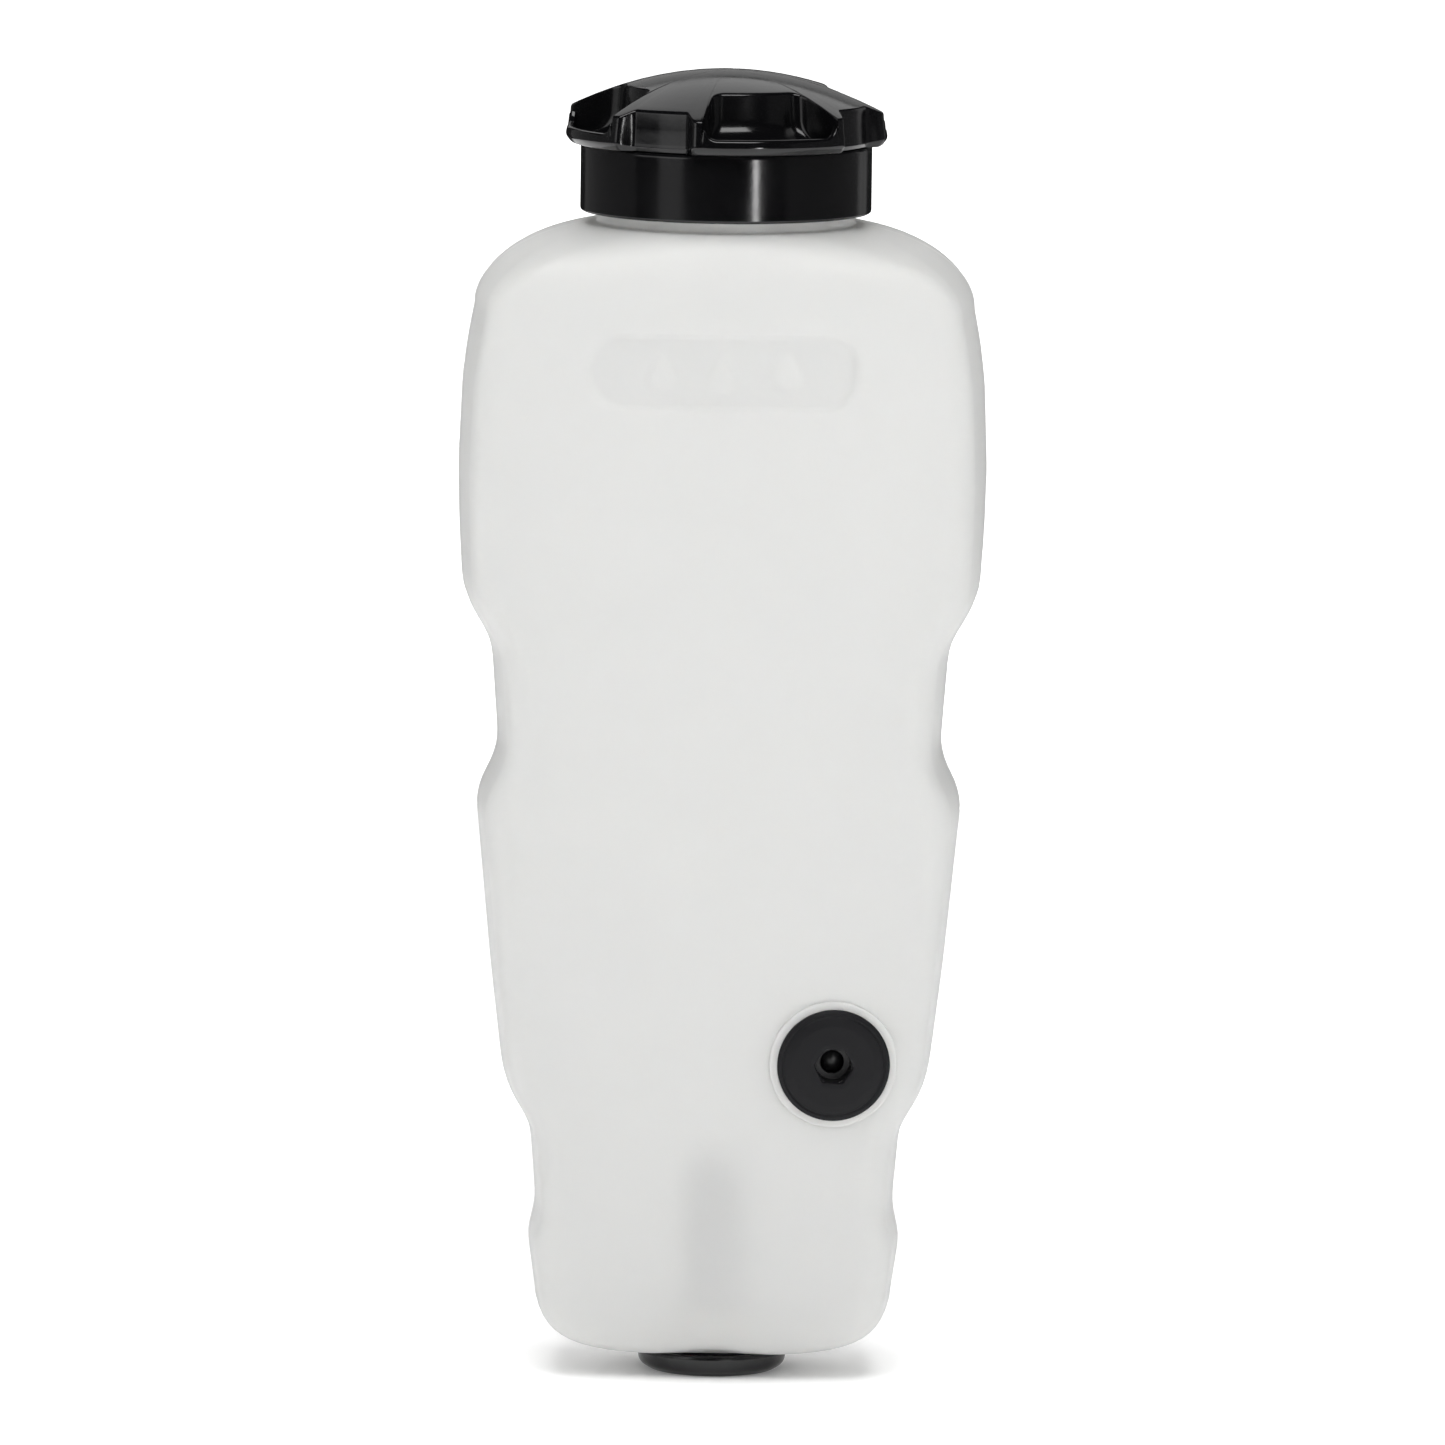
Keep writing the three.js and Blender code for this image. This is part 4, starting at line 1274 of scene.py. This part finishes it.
# ---------------------------------------------------------------- side port
@dataclass
class SidePort:
    """Rubber grommet and ball-valve cartridge, built about the port's own axis, in mm."""

    land: float = 13.3
    land_sunk: float = 1.2
    hole: float = 8.2
    flange: float = 11.7
    mouth_flats: float = 7.0
    ball: float = 3.4
    ball_depth: float = 7.2

    def find(self, frame: dict[str, Any]) -> None:
        """Finds the port's axes from the frame's mount and ball.

        Args:
            frame: The loaded frame.
        """
        mount = next(m for m in frame["record"]["mounts"] if m["name"] == "side_port_face")
        outward = Vector(mount["axis"]).normalized()
        low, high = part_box("side_valve_ball")
        origin = (low + high) / 2 + outward * self.ball_depth * MM
        turn = Vector((0, 0, 1)).rotation_difference(outward).to_matrix().to_4x4()
        self.axes = Matrix.Translation(origin) @ turn

    def cut_into(self, body: bpy.types.Object) -> None:
        """Joins the moulded land to the body and cuts the port's hole.

        Args:
            body: The bottle's body.
        """
        rim = rounded([Corner(0, -self.land_sunk), Corner(self.land, -self.land_sunk),
                       Corner(self.land, 0, 0.4), Corner(0, 0)])
        land = revolved("land", rim, 120)
        land.data.transform(self.axes)
        cut(body, land, "UNION")
        hole = revolved("hole", [(0, -6), (self.hole, -6), (self.hole, 2), (0, 2)], 96)
        hole.data.transform(self.axes)
        cut(body, hole)

    def build(self) -> None:
        """Makes and dresses the side port's pieces."""
        for piece, body, finish, node in (
            (self._grommet(), "bottle", EPDM, "side_grommet"),
            (self._housing(), "bottle", SATIN_PP, "side_valve_housing"),
            (o_ring("ball_seal", 3.3, 0.6, -4.9), "bottle", EPDM, "side_valve_seal"),
            (self._ball(), "ball", BALL_PP, "side_valve_ball"),
            (self._clip(), "bottle", NYLON, "side_valve_retainer"),
        ):
            place(piece, body, finish, [node], self.axes)
        low, high, travel = -16.8, -9.3, 2.5
        coil = Coil(2.9, 0.25, low, high, 6.5).build("ball_coil")
        place(coil, "bottle", STEEL_WIRE, ["side_valve_spring"], self.axes)
        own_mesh(coil)

    def _grommet(self) -> bpy.types.Object:
        """The grommet: a crowned face with a bead round its hexagon mouth and a groove in its rim."""
        face, inside = 2.3, -2.6
        apothem = self.mouth_flats / 2
        outline = rounded([
            Corner(apothem, 1.2), Corner(apothem, face - 0.1, 0.45), Corner(apothem + 1.2, face, 0.5),
            Corner(self.flange - 3.2, face - 0.25, 1.5), Corner(self.flange - 1.5, face - 0.75, 0.25),
            Corner(self.flange - 1.15, face - 1.05, 0.2), Corner(self.flange - 0.8, face - 0.8, 0.2),
            Corner(self.flange, face - 1.15, 0.45), Corner(self.flange, 0.1, 0.3),
            Corner(self.hole - 0.2, 0.1, 0.2), Corner(self.hole - 0.2, inside, 0.3),
            Corner(self.hole + 1.8, inside - 0.1, 0.4), Corner(self.hole + 0.6, -5.2, 0.6),
            Corner(5.6, -5.2, 0.4), Corner(5.6, 0.5, 0.3), Corner(apothem, 0.5, 0.2), Corner(apothem, 1.2),
        ])[:-1]

        def hexagon(angle: float, r: float, z: float) -> float:
            """Opens the mouth from its flats out to its corners, fading within 2 mm."""
            reach = min(apothem / math.cos(angle % (math.pi / 3) - math.pi / 6), apothem * 1.12)
            share = float(np.clip((apothem + 2 - r) / 2, 0, 1))
            return (reach - apothem) * share if z > 0.3 else 0.0

        return revolved("port_grommet", outline, 144, hexagon)

    @staticmethod
    def _housing() -> bpy.types.Object:
        """The cartridge's body, with the ball's seat part way down its bore."""
        outline = rounded([
            Corner(3.7, -1), Corner(3.7, -3, 0.2), Corner(2.4, -3, 0.2), Corner(2.4, -4.2, 0.2),
            Corner(4.3, -4.2, 0.2), Corner(4.3, -16.8, 0.1), Corner(5.4, -16.8, 0.2),
            Corner(5.4, -6.6, 0.3), Corner(7, -6.6, 0.3), Corner(7, -5.4, 0.3), Corner(5.4, -5.4, 0.3),
            Corner(5.4, 0.3, 0.3), Corner(3.7, 0.3, 0.3), Corner(3.7, -1),
        ])[:-1]
        return revolved("port_cartridge", outline, 72)

    def _ball(self) -> bpy.types.Object:
        """The polished ball."""
        turns = np.linspace(-math.pi / 2, math.pi / 2, 25)
        arc = [(self.ball * math.cos(t), self.ball * math.sin(t) - self.ball_depth) for t in turns]
        arc[0], arc[-1] = (0, arc[0][1]), (0, arc[-1][1])
        return revolved("port_ball", arc, 48)

    @staticmethod
    def _clip() -> bpy.types.Object:
        """The rear clip that holds the spring in."""
        outline = rounded([
            Corner(1.6, -17.8), Corner(1.6, -18.6, 0.2), Corner(5.4, -18.6, 0.4),
            Corner(5.4, -16.9, 0.2), Corner(1.6, -16.9, 0.2), Corner(1.6, -17.8),
        ])[:-1]
        return revolved("port_clip", outline, 64)


# ---------------------------------------------------------------- studio
@dataclass(frozen=True)
class Lamp:
    """One soft light: where it stands in metres, its size, power and what can see it."""

    name: str
    at: tuple[float, float, float]
    size: tuple[float, float]
    watts: float
    in_gloss: bool = True


@dataclass
class Studio:
    """White table, lamps and camera. The camera stands far off, so the view is nearly flat."""

    distance: float = 3.4
    elevation_deg: float = 7.2
    roll_deg: float = 0.72
    frame_width: float = 0.3006
    aim: tuple[float, float, float] = (0.00065, 0.0, 0.1357)
    world: float = 0.02
    lamps: tuple[Lamp, ...] = (
        Lamp("left_fill", (-2.5, 0.5, 0.7), (1.6, 1.2), 12.0, in_gloss=False),
        Lamp("right_fill", (2.4, -0.4, 0.7), (1.6, 1.2), 16.0, in_gloss=False),
        Lamp("back_fill", (-0.8, 2.4, 0.8), (2.2, 1.6), 12.0, in_gloss=False),
        Lamp("ceiling", (0.0, -0.5, 2.2), (1.6, 1.6), 26.0, in_gloss=False),
        Lamp("key", (0.0, -1.5, 1.9), (1.6, 0.8), 23.5),
        Lamp("top_panel", (0.0, 1.0, 1.15), (1.2, 0.9), 2.9),
        Lamp("low_panel", (0.0, 1.3, 0.55), (0.8, 0.4), 0.33),
        Lamp("strip_right", (0.507, -1.176, 0.05), (0.07, 0.5), 2.0),
        Lamp("panel_left", (-0.95, -0.98, 0.3), (0.5, 1.0), 0.8),
        Lamp("panel_left_high", (-1.1, -0.83, 0.54), (1.16, 0.55), 1.8),
        Lamp("edge_right", (1.0, 1.1, 0.3), (0.5, 1.0), 0.4),
        Lamp("dim_right", (1.3, 0.05, 0.35), (2.6, 1.0), 0.8),
        Lamp("dim_left", (-1.205, 0.487, 0.35), (2.0, 1.0), 0.8),
    )

    def camera(self) -> None:
        """Sets up the camera: a long lens, a little above the bottle's middle."""
        lens = bpy.data.cameras.new("camera")
        lens.sensor_width = 36
        lens.lens = 36 * self.distance / self.frame_width
        lens.clip_start, lens.clip_end = 0.1, 60
        camera = bpy.data.objects.new("camera", lens)
        bpy.context.scene.collection.objects.link(camera)
        bpy.context.scene.camera = camera
        up = math.radians(self.elevation_deg)
        back = Vector((0, -math.cos(up), math.sin(up)))
        camera.location = Vector(self.aim) + back * self.distance
        look = (-back).to_track_quat("-Z", "Y").to_matrix().to_4x4()
        roll = Matrix.Rotation(math.radians(self.roll_deg), 4, "Z")
        camera.rotation_mode = "QUATERNION"
        camera.rotation_quaternion = (look @ roll).to_quaternion()

    def light(self) -> None:
        """Sets the room light and hangs the lamps, each facing the bottle."""
        scene = bpy.context.scene
        scene.view_settings.view_transform = "Standard"
        room = bpy.data.worlds.new("studio")
        room.use_nodes = True
        room.node_tree.nodes["Background"].inputs["Color"].default_value = (1, 1, 1, 1)
        room.node_tree.nodes["Background"].inputs["Strength"].default_value = self.world
        scene.world = room
        for lamp in self.lamps:
            data = bpy.data.lights.new(lamp.name, "AREA")
            data.shape = "RECTANGLE"
            data.size, data.size_y = lamp.size
            data.energy = lamp.watts
            held = bpy.data.objects.new(lamp.name, data)
            scene.collection.objects.link(held)
            held.location = lamp.at
            held.rotation_euler = (Vector(lamp.at) - Vector(self.aim)).to_track_quat("Z", "Y").to_euler()
            held.visible_glossy = lamp.in_gloss
            held.visible_camera = False
            log.info("lamp %-13s %5.1f W", lamp.name, lamp.watts)

    def table(self) -> None:
        """Lays a wide white table, glowing less round the foot in a painted shadow, and hangs a white
        surround that only the camera sees.
        """
        table = self._disc("table", 0.9, 0.0)
        # The table's glow is lower at the foot: a painted shadow.
        table.data.materials.append(self._paper("White table", 0.1, 0.45))
        sweep = self._disc("sweep", 10.0, -0.001)
        surround = self._surround("surround", 9.9, 12.0)
        for far in (sweep, surround):
            far.data.materials.append(self._paper("White surround", 1.2, 1.2))
            far.visible_glossy = False
        for seen in ("visible_diffuse", "visible_transmission", "visible_shadow"):
            setattr(surround, seen, False)

    @staticmethod
    def _disc(name: str, radius: float, z: float) -> bpy.types.Object:
        """A flat disc in metres."""
        mesh = bpy.data.meshes.new(name)
        sides = 96
        turns = np.linspace(0, 2 * math.pi, sides, endpoint=False)
        edge = [(radius * math.cos(t), radius * math.sin(t), z) for t in turns]
        mesh.from_pydata(edge, [], [tuple(range(sides))])
        disc = bpy.data.objects.new(name, mesh)
        bpy.context.scene.collection.objects.link(disc)
        return disc

    @staticmethod
    def _surround(name: str, radius: float, height: float) -> bpy.types.Object:
        """A round wall in metres, standing all round the table."""
        turns = np.linspace(0, 2 * math.pi, 96, endpoint=False)
        ends = (-2.0, height)
        rings = [[(radius * math.cos(t), radius * math.sin(t), z) for t in turns] for z in ends]
        return skin(name, np.array(rings) / MM, closed=False)

    @staticmethod
    def _paper(name: str, near: float, far: float) -> bpy.types.Material:
        """White studio paper that glows as if lit from behind: less where the bottle stands, a painted shadow
        round the foot that deepens its real shadow.

        Args:
            name: The material's name.
            near: Glow at the bottle's foot, dimmed there into a painted shadow.
            far: Glow from a hand's breadth outwards.

        Returns:
            The new material.
        """
        made = bpy.data.materials.new(name)
        made.use_nodes = True
        tree = made.node_tree
        place_of = add_node(tree, "ShaderNodeTexCoord").outputs["Object"]
        reach = add_node(tree, "ShaderNodeVectorMath", {"operation": "LENGTH"}, {"Vector": place_of})
        # The glow falls from far to near within 12 to 60 mm of the bottle's axis: a painted shadow round the
        # foot.
        fade = {"interpolation_type": "SMOOTHSTEP", "From Min": 0.012, "From Max": 0.06}
        fade |= {"To Min": near, "To Max": far}
        glow = add_node(tree, "ShaderNodeMapRange", fade, {"Value": reach.outputs["Value"]})
        shader = tree.nodes["Principled BSDF"]
        shader.inputs["Base Color"].default_value = linear("F6F6F6")
        shader.inputs["Roughness"].default_value = 0.9
        shader.inputs["Emission Color"].default_value = (1, 1, 1, 1)
        tree.links.new(glow.outputs["Result"], shader.inputs["Emission Strength"])
        return made


def main() -> None:
    """Builds every sub-assembly over the frame, then the studio."""
    logging.basicConfig(level=logging.INFO, format="%(name)s: %(message)s")
    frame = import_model()
    studio = Studio()
    studio.camera()
    port = SidePort()
    port.find(frame)
    BlowMouldedBody().build(frame, port)
    ScrewCap().build(frame)
    FootValve().build(frame)
    port.build()
    studio.light()
    studio.table()


if __name__ == "__main__":
    main()
